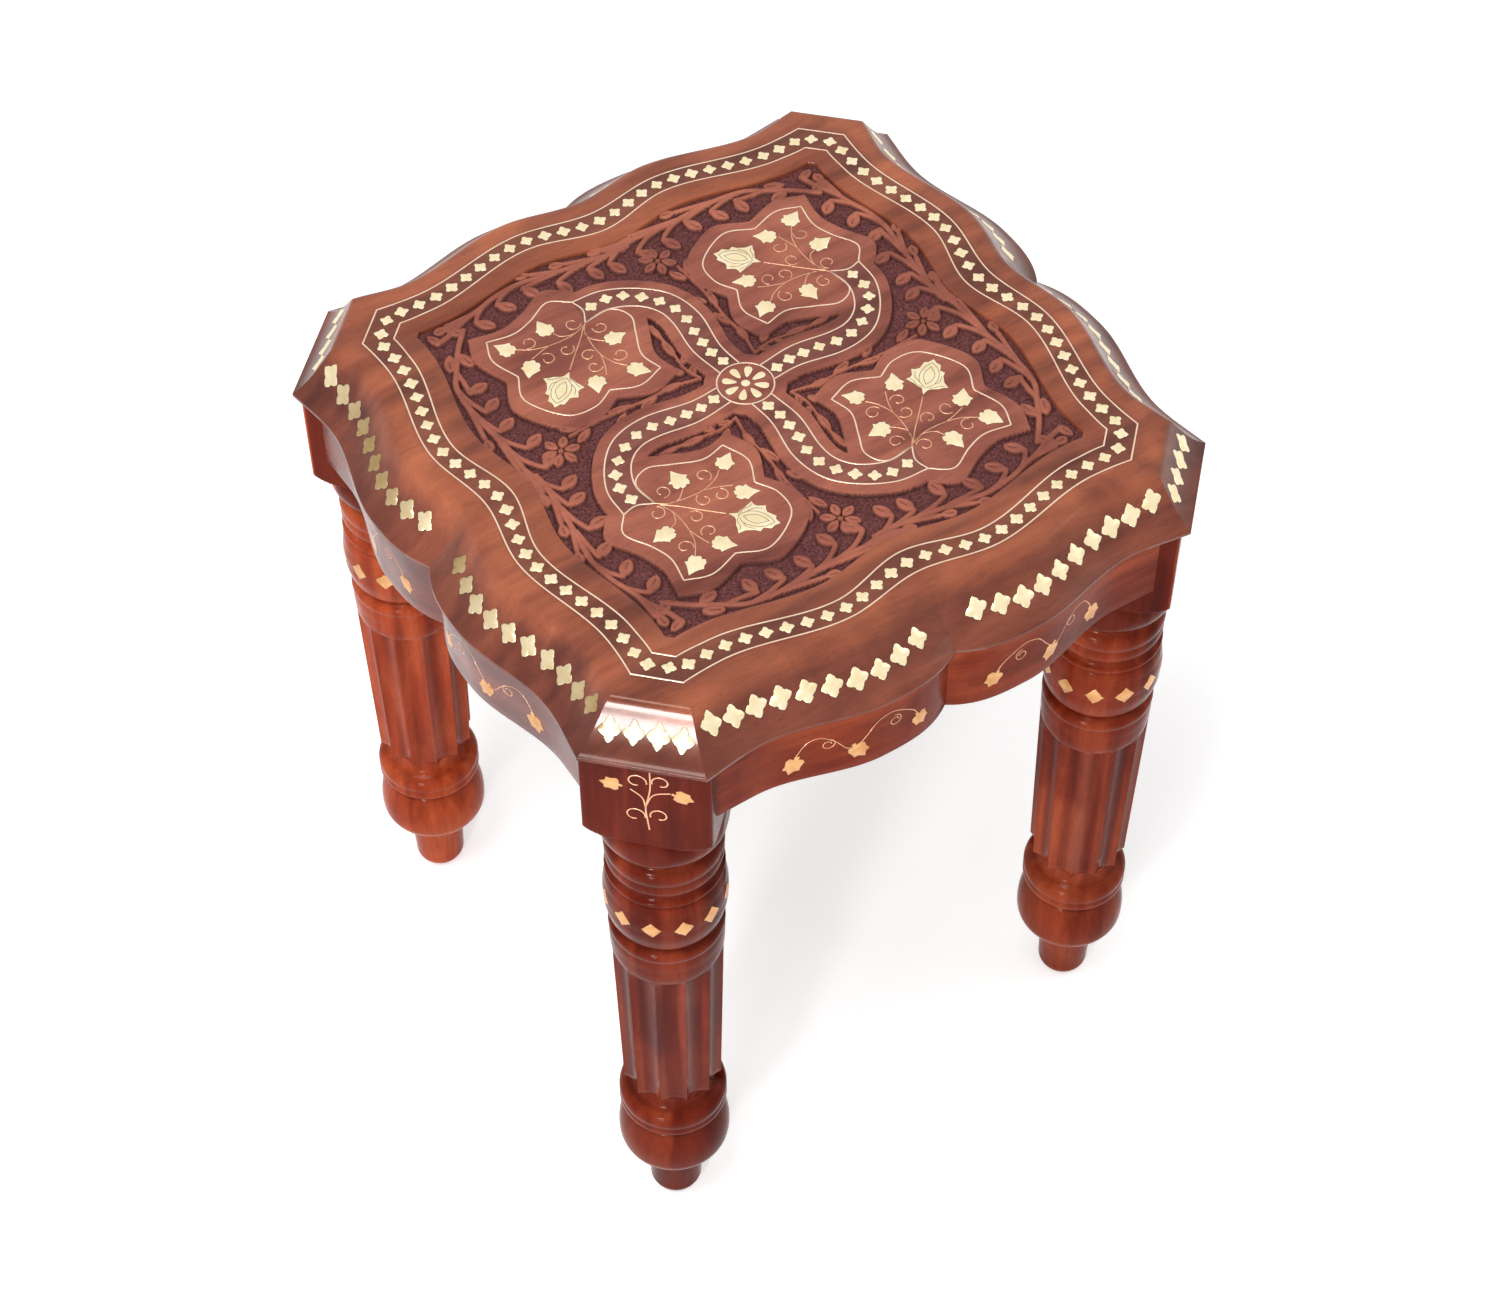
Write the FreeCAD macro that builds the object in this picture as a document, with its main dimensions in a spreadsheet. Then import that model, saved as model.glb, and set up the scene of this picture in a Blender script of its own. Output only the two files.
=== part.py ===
import FreeCAD, Part
import math
import os

# A carved low table: lobed top board, four aprons, four turned legs and brass inlay.
# Millimetres, +Z up, origin under the middle of the table, the front side faces -Y.

os.makedirs("parts", exist_ok=True)
doc = FreeCAD.newDocument("bajot_low_table")
sheet = doc.addObject("Spreadsheet::Sheet", "sizes")

# Driving sizes. Every length, count and share that can be set by itself is here once.

LENGTHS = {
    # Top board, from the floor up and from the middle out
    "total_height": 370.0,
    "board_thickness": 23.0,
    "lip_edge": 3.6,
    "hump_at": 35.0,
    "flat_at": 88.0,
    "lip_far": 152.5,
    "lip_near": 116.4,
    "lip_base": 149.0,
    "lip_swell": 10.0,
    "lip_dip": 2.5,
    "crest_far": 134.3,
    "crest_near": 111.6,
    "crest_base": 130.0,
    "crest_swell": 9.5,
    "crest_dip": 4.0,
    # Brass wires along the border
    "outer_wire_far": 121.7,
    "outer_wire_near": 107.0,
    "outer_wire_base": 120.3,
    "outer_wire_swell": 9.0,
    "outer_wire_dip": 3.7,
    "inner_wire_far": 109.3,
    "inner_wire_near": 102.5,
    "inner_wire_base": 109.0,
    "inner_wire_swell": 10.3,
    "inner_wire_dip": 2.8,
    # Sunk field
    "field_far": 100.5,
    "field_near": 98.0,
    "field_base": 100.0,
    "field_swell": 8.5,
    "field_dip": 3.0,
    "field_depth": 4.0,
    "hub_radius": 17.5,
    "arm_rim": 5.2,
    # Brass
    "inlay_thickness": 0.7,
    "wire_width": 0.9,
    "diamond_reach": 2.9,
    "chip_reach": 4.4,
    "chip_base": 137.0,
    "chip_swell": 10.4,
    "chip_dip": 4.0,
    "chip_start": 14.0,
    "chip_pitch": 10.15,
    "chip_corner_pitch": 9.6,
    "chip_corner_reach": 181.0,
    "leaf_size": 9.6,
    "lotus_length": 19.8,
    "rosette_radius": 12.0,
    "rosette_petal_in": 3.6,
    "rosette_petal_out": 9.8,
    "rosette_petal_width": 3.4,
    "rosette_dot": 1.9,
    # Aprons
    "apron_height": 37.0,
    "apron_inset": 4.5,
    "apron_swell": 11.0,
    "apron_dip": 3.0,
    "apron_inner": 128.0,
    "tenon_thickness": 8.0,
    "tenon_height": 24.0,
    "tenon_length": 11.0,
    "tenon_line": 137.0,
    "mortise_spare": 0.5,
    "apron_leaf_size": 8.5,
    "apron_leaf_level": 322.0,
    # Legs, levels measured from the floor
    "leg_axis": 113.2,
    "block_width": 53.0,
    "block_corner_level": 303.0,
    "block_corner_radius": 38.5,
    "dome_top_level": 295.0,
    "dome_radius": 26.0,
    "collar_level": 274.8,
    "collar_radius": 22.3,
    "bead_level": 264.0,
    "bead_radius": 24.0,
    "ring_top_level": 255.5,
    "ring_neck_radius": 23.2,
    "ring_level": 253.5,
    "ring_radius": 25.0,
    "ring_foot_level": 251.0,
    "band_top_radius": 23.8,
    "band_level": 236.0,
    "band_radius": 25.8,
    "neck_level": 217.5,
    "neck_radius": 21.6,
    "shoulder_level": 207.0,
    "shoulder_radius": 25.2,
    "shoulder_foot_level": 195.5,
    "shoulder_foot_radius": 20.8,
    "core_radius": 17.5,
    "column_top_level": 208.0,
    "column_top_radius": 24.9,
    "column_foot_level": 97.5,
    "column_foot_radius": 22.4,
    "flute_depth": 3.4,
    "cove_level": 90.0,
    "lower_bead_level": 78.0,
    "lower_bead_radius": 23.8,
    "seam_level": 70.5,
    "seam_radius": 21.4,
    "bulb_level": 49.0,
    "bulb_radius": 25.3,
    "bulb_under_level": 42.0,
    "bulb_under_radius": 22.8,
    "foot_top_level": 29.5,
    "foot_neck_radius": 12.8,
    "foot_waist_level": 8.0,
    "foot_waist_radius": 11.9,
    "foot_sole_radius": 8.7,
    "leg_tenon_radius": 14.0,
    "leg_tenon_length": 12.0,
    "band_diamond_reach": 3.5,
    "sprig_leaf_size": 9.2,
    "sprig_leaf_out": 14.2,
    "sprig_leaf_level": 331.5,
}

COUNTS = {
    "border_diamond_count": 108,
    "chips_per_lobe": 10,
    "chips_per_corner": 4,
    "flute_count": 12,
    "band_diamond_count": 12,
    "rosette_petal_count": 8,
}

SHARES = {
    "corner_slope_share": 0.14,
    "lip_notch_share": 0.62,
    "apron_notch_share": 0.70,
    "bevel_dish_share": 0.58,
    "bevel_mid_share": 0.45,
    "island_growth_share": 1.22,
    "wide_place_share": 0.62,
    "blunt_end_share": 0.45,
    "convex_share": 0.16,
    "gentle_share": 0.08,
    "slight_share": 0.05,
    "round_share": 0.20,
}

row = 1
for table in (LENGTHS, COUNTS, SHARES):
    for alias, number in table.items():
        sheet.set("A%d" % row, alias)
        sheet.set("B%d" % row, str(number))
        sheet.setAlias("B%d" % row, alias)
        row += 1
doc.recompute()


def size(alias):
    """Value of one named cell of the sheet."""
    return float(getattr(sheet, alias))


def count(alias):
    """Whole number held by one named cell of the sheet."""
    return int(round(size(alias)))


# Plan motifs of the front left quarter, each point a share of lip_far.
# The other quarters are the same motif turned about the middle.

CARTOUCHE_SHARES = (
    ((-0.530, -0.232), (-0.566, -0.292), (-0.528, -0.367), (-0.508, -0.433), (-0.520, -0.512)),
    ((-0.520, -0.512), (-0.446, -0.533), (-0.358, -0.505)),
    ((-0.358, -0.505), (-0.269, -0.535), (-0.161, -0.469), (-0.146, -0.387), (-0.179, -0.321)),
    ((-0.179, -0.321), (-0.150, -0.243), (-0.177, -0.161)),
    (
        (-0.177, -0.161), (-0.249, -0.177), (-0.328, -0.148),
        (-0.393, -0.124), (-0.447, -0.157), (-0.440, -0.243),
    ),
    ((-0.440, -0.243), (-0.485, -0.223), (-0.530, -0.232)),
)
CARTOUCHE_MIDDLE_SHARES = (-0.340, -0.340)
ARM_OUTER_SHARES = (
    (-0.072, 0.028), (-0.164, 0.022), (-0.295, 0.041), (-0.400, 0.020),
    (-0.472, -0.043), (-0.523, -0.138), (-0.530, -0.232),
)
ARM_INNER_SHARES = (
    (-0.072, -0.037), (-0.184, -0.053), (-0.300, -0.041), (-0.367, -0.049),
    (-0.420, -0.090), (-0.450, -0.165), (-0.440, -0.243),
)
ARM_DIAMOND_SHARES = (
    (-0.105, -0.005), (-0.151, -0.013), (-0.197, -0.012), (-0.247, -0.009), (-0.298, 0.000), (-0.351, -0.005),
    (-0.400, -0.026), (-0.441, -0.059), (-0.474, -0.100), (-0.489, -0.146), (-0.485, -0.197),
)
LEAF_PLACE_SHARES = (
    (-0.344, -0.205, 92.0), (-0.205, -0.216, 38.0), (-0.218, -0.338, -28.0),
    (-0.366, -0.460, -42.0), (-0.468, -0.481, 212.0), (-0.480, -0.351, 186.0),
)
LOTUS_PLACE_SHARES = (-0.253, -0.430, -48.0)

APRON_LEAF_PLACE_SHARES = ((0.118, -116.0), (0.308, -118.0), (0.479, -68.0))

# Outlines of the brass pieces, as shares of their own length, tip along the first axis.

LEAF_SHARES = (
    (0.55, 0.01), (0.20, 0.18), (0.12, 0.38), (-0.06, 0.32), (-0.36, 0.31), (-0.34, 0.10), (-0.44, 0.00),
    (-0.34, -0.11), (-0.37, -0.31), (-0.04, -0.31), (0.10, -0.40), (0.19, -0.20),
)
TULIP_SHARES = (
    (0.52, 0.00), (0.31, 0.14), (0.27, 0.29), (-0.19, 0.32), (-0.34, 0.23), (-0.32, 0.07),
    (-0.48, 0.00), (-0.32, -0.07), (-0.34, -0.23), (-0.19, -0.32), (0.27, -0.29), (0.31, -0.14),
)
LOTUS_SHARES = (
    (-0.49, 0.01), (-0.30, 0.15), (-0.16, 0.42), (-0.05, 0.34), (0.13, 0.39), (0.20, 0.24), (0.39, 0.18),
    (0.51, 0.02), (0.39, -0.15), (0.20, -0.27), (0.01, -0.29), (-0.18, -0.43), (-0.28, -0.24),
)

STRAIGHT_SHARE = 0.000001
LEVEL_TOP = size("total_height")
LEVEL_UNDER = LEVEL_TOP - size("board_thickness")
LEVEL_LIP = LEVEL_UNDER + size("lip_edge")
LEVEL_FIELD = LEVEL_TOP - size("field_depth")
LEVEL_INLAY = LEVEL_TOP - size("inlay_thickness")
LEVEL_APRON = LEVEL_UNDER - size("apron_height")
QUARTER = 90.0
QUARTERS = (0, 1, 2, 3)
SIDES = ("front", "right", "back", "left")
CORNERS = ("front_left", "front_right", "back_right", "back_left")
UP = FreeCAD.Vector(0, 0, 1)
MIDDLE = FreeCAD.Vector(0, 0, 0)

EXPRESSIONS = {
    "under": "sizes.total_height - sizes.board_thickness",
    "field": "sizes.total_height - sizes.field_depth",
    "inlay": "sizes.total_height - sizes.inlay_thickness",
    "apron": "sizes.total_height - sizes.board_thickness - sizes.apron_height",
}


# Small helpers for shapes and for objects whose sizes follow the sheet.

def turned(shape, quarter):
    """Copy of a shape, turned about the middle by a number of quarter turns."""
    copy = shape.copy()
    copy.rotate(MIDDLE, UP, QUARTER * quarter)
    return copy


def all_quarters(shapes):
    """The given shapes and their copies in the other three quarters."""
    return [turned(shape, quarter) for quarter in QUARTERS for shape in shapes]


def held(name, shape):
    """Document object that carries a computed shape."""
    item = doc.addObject("Part::Feature", name)
    item.Shape = shape
    return item


def bound(kind, name, **expressions):
    """Document object whose sizes and place follow the sheet.

    A place is given as at_x, at_y or at_z, every other word is the object's own size.
    """
    item = doc.addObject(kind, name)
    for word, expression in expressions.items():
        path = "Placement.Base." + word[-1] if word.startswith("at_") else word
        item.setExpression(path, expression)
    return item


def boolean(kind, name, base, tools):
    """Cut, fuse or common of document objects."""
    item = doc.addObject(kind, name)
    if kind == "Part::Cut":
        item.Base = base
        item.Tool = tools[0]
    else:
        item.Shapes = [base] + tools
        item.Refine = True
    return item


def extruded(name, faces, height):
    """Upright extrusion of flat faces, its height following the sheet."""
    base = held(name + "_outline", faces if isinstance(faces, Part.Face) else Part.makeCompound(faces))
    item = bound("Part::Extrusion", name, LengthFwd=height)
    item.Base = base
    item.DirMode = "Custom"
    item.Dir = UP
    item.Solid = True
    return item


# Lobed outlines. A side is a chain of easy curves through the corner, the flat,
# the hump and the notch, given as distances along the side and out from the middle.

def lobed(prefix, notch_slope, grow=0.0):
    """Notch, hump, flat and corner of one outline as (along, out, slope)."""
    return (
        (0.0, size(prefix + "_base") + size(prefix + "_dip") + grow, notch_slope),
        (size("hump_at"), size(prefix + "_base") + size(prefix + "_swell") + grow, 0.0),
        (size("flat_at"), size(prefix + "_base") + grow, 0.0),
        (size(prefix + "_near") + grow / 2, size(prefix + "_far") + grow, size("corner_slope_share")),
    )


def blended(first, second, share):
    """Outline that lies between two others."""
    return tuple(
        tuple(a + (b - a) * share for a, b in zip(one, two))
        for one, two in zip(first, second)
    )


def reach_at(stations, along):
    """Distance out from the middle at a place along the side."""
    along = abs(along)
    for (s0, d0, t0), (s1, d1, t1) in zip(stations, stations[1:]):
        if along <= s1 or s1 == stations[-1][0]:
            span = s1 - s0
            u = (along - s0) / span
            start = (1 + 2 * u) * (1 - u) ** 2 * d0 + u * (1 - u) ** 2 * span * t0
            return start + u * u * (3 - 2 * u) * d1 + u * u * (u - 1) * span * t1
    return stations[-1][1]


def tangent_arc(start, heading, end):
    """Arc or straight edge that leaves start along heading and ends at end."""
    chord = end - start
    side = UP.cross(heading)
    lean = chord.dot(side)
    if abs(lean) < chord.Length * STRAIGHT_SHARE:
        return Part.makeLine(start, end)
    centre = start + side * (chord.dot(chord) / (2 * lean))
    outward = ((start - centre) + (end - centre)).normalize()
    radius = (start - centre).Length
    return Part.Arc(start, centre + outward * radius, end).toShape()


def eased(start, first, end, last):
    """Two arcs from start to end that touch the two unit headings."""
    chord = end - start
    along = chord.dot(first + last)
    spread = 2 * (1 - first.dot(last))
    if spread < STRAIGHT_SHARE:
        reach = chord.dot(chord) / (2 * along)
    else:
        reach = (math.sqrt(along ** 2 + spread * chord.dot(chord)) - along) / spread
    joint = (start + end + (first - last) * reach) / 2
    middle = (end - last * reach - start - first * reach).normalize()
    return [tangent_arc(start, first, joint), tangent_arc(joint, middle, end)]


def side_edges(stations, level):
    """Arcs of one whole side, from its left corner to its right corner."""
    edges = []
    for (s0, d0, t0), (s1, d1, t1) in zip(stations, stations[1:]):
        for mirror in (1, -1):
            start = FreeCAD.Vector(mirror * s0, -d0, level)
            end = FreeCAD.Vector(mirror * s1, -d1, level)
            first = FreeCAD.Vector(mirror, -t0, 0).normalize()
            last = FreeCAD.Vector(mirror, -t1, 0).normalize()
            edges += eased(start, first, end, last)
    return edges


def joined(edges):
    """Wire through edges given in any order."""
    return Part.Wire(Part.__sortEdges__(edges))


def lobed_wire(stations, level):
    """Closed wire of the four sides and the four corner chamfers."""
    near, far = stations[-1][0], stations[-1][1]
    edges = []
    for quarter in QUARTERS:
        edges += [turned(edge, quarter) for edge in side_edges(stations, level)]
        chamfer = Part.makeLine(FreeCAD.Vector(near, -far, level), FreeCAD.Vector(far, -near, level))
        edges.append(turned(chamfer, quarter))
    return joined(edges)


LIP = lobed("lip", size("lip_notch_share"))
CREST = lobed("crest", 0.0)
OUTER_WIRE = lobed("outer_wire", 0.0)
INNER_WIRE = lobed("inner_wire", 0.0)
FIELD = lobed("field", 0.0)


# Smooth runs through a few plan points.

def at_share(point, level):
    """Plan point given as shares of lip_far."""
    reach = size("lip_far")
    return FreeCAD.Vector(point[0] * reach, point[1] * reach, level)


def headings(points):
    """Unit heading of a smooth run at each of its points."""
    found = []
    for place, point in enumerate(points):
        before = points[max(place - 1, 0)]
        after = points[min(place + 1, len(points) - 1)]
        found.append((after - before).normalize())
    for end, near, far in ((0, 0, 1), (-1, -2, -1)):
        chord = (points[far] - points[near]).normalize()
        inner = found[1] if end == 0 else found[-2]
        found[end] = (chord * (2 * chord.dot(inner)) - inner).normalize()
    return found


def smooth(points, offset=0.0):
    """Chain of arcs through a few points, moved to the left by an offset."""
    runs = headings(points)
    moved = [point + UP.cross(run) * offset for point, run in zip(points, runs)]
    edges = []
    for place in range(len(points) - 1):
        edges += eased(moved[place], runs[place], moved[place + 1], runs[place + 1])
    return edges


def band_face(left, right):
    """Flat face between two open chains of edges that run the same way."""
    starts = (left[0].Vertexes[0].Point, right[0].Vertexes[0].Point)
    ends = (left[-1].Vertexes[-1].Point, right[-1].Vertexes[-1].Point)
    return Part.Face(joined(left + right + [Part.makeLine(*starts), Part.makeLine(*ends)]))


def grown(point):
    """Cartouche point moved out from the middle of its cartouche."""
    growth = size("island_growth_share")
    return tuple(m + (p - m) * growth for p, m in zip(point, CARTOUCHE_MIDDLE_SHARES))


# Top board: a ruled loft from the underside to the crest of the bevel, with the
# carved field sunk into it round a hub, four cartouches and their arms.

def board_blank():
    """Loft object through the underside, the lip, the dished bevel and the crest."""
    drop = LEVEL_TOP - LEVEL_LIP
    dish = blended(CREST, LIP, size("bevel_mid_share"))
    sections = (
        ("board_under", LIP, LEVEL_UNDER),
        ("board_lip", LIP, LEVEL_LIP),
        ("board_dish", dish, LEVEL_TOP - drop * size("bevel_dish_share")),
        ("board_crest", CREST, LEVEL_TOP),
    )
    loft = doc.addObject("Part::Loft", "board_blank")
    loft.Sections = [held(name, lobed_wire(stations, level)) for name, stations, level in sections]
    loft.Solid = True
    loft.Ruled = True
    return loft


def island_faces():
    """Cartouche and arm that stay standing in one quarter of the field."""
    edges = []
    for lobe in CARTOUCHE_SHARES:
        edges += smooth([at_share(grown(point), LEVEL_FIELD) for point in lobe])
    rim = size("arm_rim")
    left = smooth([at_share(point, LEVEL_FIELD) for point in ARM_OUTER_SHARES], -rim)
    right = smooth([at_share(point, LEVEL_FIELD) for point in ARM_INNER_SHARES], rim)
    return [Part.Face(joined(edges)), band_face(left, right)]


def field_waste():
    """Object that is taken out of the board to sink its field."""
    whole = extruded("field_block", Part.Face(lobed_wire(FIELD, LEVEL_FIELD)), "sizes.field_depth")
    hub = bound(
        "Part::Cylinder", "field_hub",
        Radius="sizes.hub_radius", Height="sizes.field_depth", at_z=EXPRESSIONS["field"],
    )
    cartouche, arm = island_faces()
    parts = [extruded("field_cartouches", all_quarters([cartouche]), "sizes.field_depth")]
    parts.append(extruded("field_arms", all_quarters([arm]), "sizes.field_depth"))
    islands = boolean("Part::MultiFuse", "field_islands", hub, parts)
    return boolean("Part::Cut", "field_waste", whole, [islands])


def leg_sockets():
    """Sockets in the board's underside for the tenons on the legs."""
    found = []
    for quarter, corner in enumerate(CORNERS):
        x, y = corner_signs(quarter)
        found.append(bound(
            "Part::Cylinder", "socket_" + corner,
            Radius="sizes.leg_tenon_radius", Height="sizes.leg_tenon_length",
            at_x=x + "sizes.leg_axis", at_y=y + "sizes.leg_axis", at_z=EXPRESSIONS["under"],
        ))
    return found


# Brass of the flat top. Each group is one extrusion of flat outlines.

def polygon(points):
    """Flat face through the points."""
    return Part.Face(Part.makePolygon(list(points) + [points[0]]))


def set_at(outline, x, y, angle):
    """Plan outline turned by an angle in degrees and moved to a place."""
    c = math.cos(math.radians(angle))
    s = math.sin(math.radians(angle))
    return [(x + u * c - v * s, y + u * s + v * c) for u, v in outline]


def plan_face(outline, level=LEVEL_INLAY):
    """Flat face on a level, from plan points as (x, y)."""
    return polygon([FreeCAD.Vector(x, y, level) for x, y in outline])


def scaled(shares, length):
    """Outline given by shares of its length."""
    return [(u * length, v * length) for u, v in shares]


def diamond(reach):
    """Four corners of a diamond."""
    return [(reach, 0.0), (0.0, reach), (-reach, 0.0), (0.0, -reach)]


def plates(name, faces):
    """Brass plates let into the flat top."""
    return extruded(name + "_plates", faces, "sizes.inlay_thickness")


def border_wire(name, prefix):
    """Brass wire that follows one lobed outline."""
    half = size("wire_width") / 2
    outer = Part.Face(lobed_wire(lobed(prefix, 0.0, half), LEVEL_INLAY))
    inner = Part.Face(lobed_wire(lobed(prefix, 0.0, -half), LEVEL_INLAY))
    disc = extruded(name + "_disc", outer, "sizes.inlay_thickness")
    hole = extruded(name + "_hole", inner, "sizes.inlay_thickness")
    return boolean("Part::Cut", name + "_strip", disc, [hole])


def border_diamonds():
    """Diamonds at even steps midway between the two border wires."""
    number = count("border_diamond_count")
    spots = lobed_wire(blended(OUTER_WIRE, INNER_WIRE, 0.5), LEVEL_INLAY).discretize(number + 1)
    faces = []
    for here, ahead in zip(spots, spots[1:]):
        run = ahead - here
        middle = here + run / 2
        angle = math.degrees(math.atan2(run.y, run.x))
        faces.append(plan_face(set_at(diamond(size("diamond_reach")), middle.x, middle.y, angle)))
    return faces


def strip(points):
    """Outline of a brass wire along a run of points."""
    half = size("wire_width") / 2
    return band_face(smooth(points, half), smooth(points, -half))


def arm_wires():
    """Outlines of the wires on both sides of the arms."""
    runs = (ARM_OUTER_SHARES, ARM_INNER_SHARES)
    return all_quarters([strip([at_share(point, LEVEL_INLAY) for point in run]) for run in runs])


def cartouche_wires():
    """Wires round the cartouches, less where the arms' wires pass."""
    strips = [strip([at_share(point, LEVEL_INLAY) for point in lobe]) for lobe in CARTOUCHE_SHARES]
    whole = strips[0].fuse(strips[1:]).removeSplitter().cut(arm_wires())
    return all_quarters(whole.Faces)


def arm_diamonds():
    """Diamonds along the arms."""
    points = [at_share(point, LEVEL_INLAY) for point in ARM_DIAMOND_SHARES]
    faces = []
    for point, run in zip(points, headings(points)):
        angle = math.degrees(math.atan2(run.y, run.x))
        faces.append(plan_face(set_at(diamond(size("diamond_reach")), point.x, point.y, angle)))
    return all_quarters(faces)


def motifs(shares, length, places):
    """Outlines of one motif at its places in every quarter."""
    reach = size("lip_far")
    outline = scaled(shares, length)
    return all_quarters([plan_face(set_at(outline, x * reach, y * reach, angle)) for x, y, angle in places])


def cartouche_leaves():
    """Outlines of the leaves in the cartouches."""
    return motifs(LEAF_SHARES, size("leaf_size"), LEAF_PLACE_SHARES)


def lotus_flowers():
    """Outlines of the flower in each cartouche."""
    return motifs(LOTUS_SHARES, size("lotus_length"), (LOTUS_PLACE_SHARES,))


def rosette_petals():
    """Outlines of the rosette's petals."""
    near = size("rosette_petal_in")
    far = size("rosette_petal_out")
    half = size("rosette_petal_width") / 2
    shoulder = near + (far - near) * size("wide_place_share")
    blunt = half * size("blunt_end_share")
    petal = [(near, 0.0), (shoulder, half), (far, blunt), (far, -blunt), (shoulder, -half)]
    number = count("rosette_petal_count")
    return [plan_face(set_at(petal, 0.0, 0.0, 360.0 * step / number)) for step in range(number)]


def rosette_disc(name, radius):
    """Round plate in the middle of the top."""
    return bound(
        "Part::Cylinder", name, Radius=radius, Height="sizes.inlay_thickness", at_z=EXPRESSIONS["inlay"]
    )


def rosette_ring():
    """Wire ring round the rosette."""
    disc = rosette_disc("rosette_ring_disc", "sizes.rosette_radius + sizes.wire_width / 2")
    hole = rosette_disc("rosette_ring_hole", "sizes.rosette_radius - sizes.wire_width / 2")
    return boolean("Part::Cut", "rosette_ring_strip", disc, [hole])


def bevel_chip_tools():
    """Upright tools over the chips of the front bevel and of one corner."""
    shape = diamond(size("chip_reach"))
    stations = (
        (0.0, size("chip_base") + size("chip_dip"), 0.0),
        (size("hump_at"), size("chip_base") + size("chip_swell"), 0.0),
        (size("flat_at"), size("chip_base"), 0.0),
        (size("lip_near"), size("chip_base"), 0.0),
    )
    outlines = []
    for step in range(count("chips_per_lobe")):
        along = size("chip_start") + step * size("chip_pitch")
        for sign in (1, -1):
            outlines.append(set_at(shape, sign * along, -reach_at(stations, along), 0.0))
    corner = size("chip_corner_reach") / math.sqrt(2)
    number = count("chips_per_corner")
    for step in range(number):
        shift = (step - (number - 1) / 2) * size("chip_corner_pitch") / math.sqrt(2)
        outlines.append(set_at(shape, corner + shift, -corner + shift, QUARTER / 2))
    return [plan_face(outline, LEVEL_UNDER).extrude(UP * size("board_thickness")) for outline in outlines]


def skin_chips(tools, wood, inward):
    """Chips that fill the tools in the wood's outer skin, and the pockets that take them.

    The pockets go on past the wood's face, so that they cut it cleanly.
    """
    core = wood.copy()
    core.translate(inward * size("inlay_thickness"))
    pockets = []
    for tool in tools:
        pockets += tool.cut(core).Solids
    chips = Part.makeCompound(pockets).common(wood)
    return chips.Solids, pockets


def flush_pockets(plates_in, outward, spare):
    """Pockets of plates that lie flush in a flat face, going on past the face."""
    return [
        low_face(plate, outward).extrude(outward * (size("inlay_thickness") + spare))
        for plate in plates_in
    ]


def low_face(plate, outward):
    """Face of a plate that lies deepest in the wood."""
    return min(plate.Faces, key=lambda face: face.CenterOfMass.dot(outward))


# Aprons. The front one is made in its place, the others are the same piece turned.

def apron_face():
    """Plan of the front apron before it is fitted between its legs."""
    base = size("lip_base") - size("apron_inset")
    near = size("lip_near")
    inner = size("apron_inner")
    stations = (
        (0.0, base + size("apron_dip"), size("apron_notch_share")),
        (size("hump_at"), base + size("apron_swell"), 0.0),
        (size("flat_at"), base, 0.0),
        (near, base, 0.0),
    )
    corners = [(-near, -base), (-near, -inner), (near, -inner), (near, -base)]
    points = [FreeCAD.Vector(x, y, LEVEL_APRON) for x, y in corners]
    straight = [Part.makeLine(a, b) for a, b in zip(points, points[1:])]
    return Part.Face(joined(side_edges(stations, LEVEL_APRON) + straight))


def stock(name, x, y, lower="0", height=EXPRESSIONS["under"]):
    """Square stock of a leg, set on the diagonal, its middle at a place."""
    item = bound(
        "Part::Box", name, Length="sizes.block_width", Width="sizes.block_width", Height=height,
        at_x=x, at_y=y + " - sizes.block_width / sqrt(2)", at_z=lower,
    )
    item.Placement.Rotation = FreeCAD.Rotation(UP, QUARTER / 2)
    return item


def tongue(name, at_right, spare=""):
    """Tongue on one end of the front apron, as a tenon or as the tool of its mortise."""
    half = "(sizes.tenon_line - sizes.block_width / sqrt(2))"
    run = "(sizes.tenon_length + sizes.tenon_thickness" + spare + ")"
    start = half + " - sizes.tenon_thickness" if at_right else "-" + half + " - sizes.tenon_length" + spare
    return bound(
        "Part::Box", name, Length=run, Width="sizes.tenon_thickness", Height="sizes.tenon_height",
        at_x=start, at_y="-sizes.tenon_line - sizes.tenon_thickness / 2",
        at_z=EXPRESSIONS["apron"] + " + (sizes.apron_height - sizes.tenon_height) / 2",
    )


def fitted_apron():
    """Front apron cut to the blocks' faces, with a tenon at each end."""
    board = extruded("apron_blank", apron_face(), "sizes.apron_height")
    blocks = [stock("apron_block_left", "-sizes.leg_axis", "-sizes.leg_axis")]
    blocks.append(stock("apron_block_right", "sizes.leg_axis", "-sizes.leg_axis"))
    both = boolean("Part::MultiFuse", "apron_blocks", blocks[0], blocks[1:])
    shoulders = boolean("Part::Cut", "apron_between_blocks", board, [both])
    tenons = [tongue("apron_tenon_left", False), tongue("apron_tenon_right", True)]
    return boolean("Part::MultiFuse", "apron_with_tenons", shoulders, tenons)


def apron_leaf_chips(apron):
    """Brass leaves let into the outer face of the front apron, and their pockets."""
    reach = size("lip_far")
    front = reach + size("lip_swell")
    outline = scaled(TULIP_SHARES, size("apron_leaf_size"))
    tools = []
    for share, angle in APRON_LEAF_PLACE_SHARES:
        shape = set_at(outline, share * reach, size("apron_leaf_level"), angle)
        for sign in (1, -1):
            face = polygon([FreeCAD.Vector(sign * x, -front, z) for x, z in shape])
            tools.append(face.extrude(FreeCAD.Vector(0, front - size("apron_inner"), 0)))
    return skin_chips(tools, apron, FreeCAD.Vector(0, 1, 0))


# Legs. One leg is made round its own axis, its outward face towards -X, and each
# node places it in its own corner.

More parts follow.
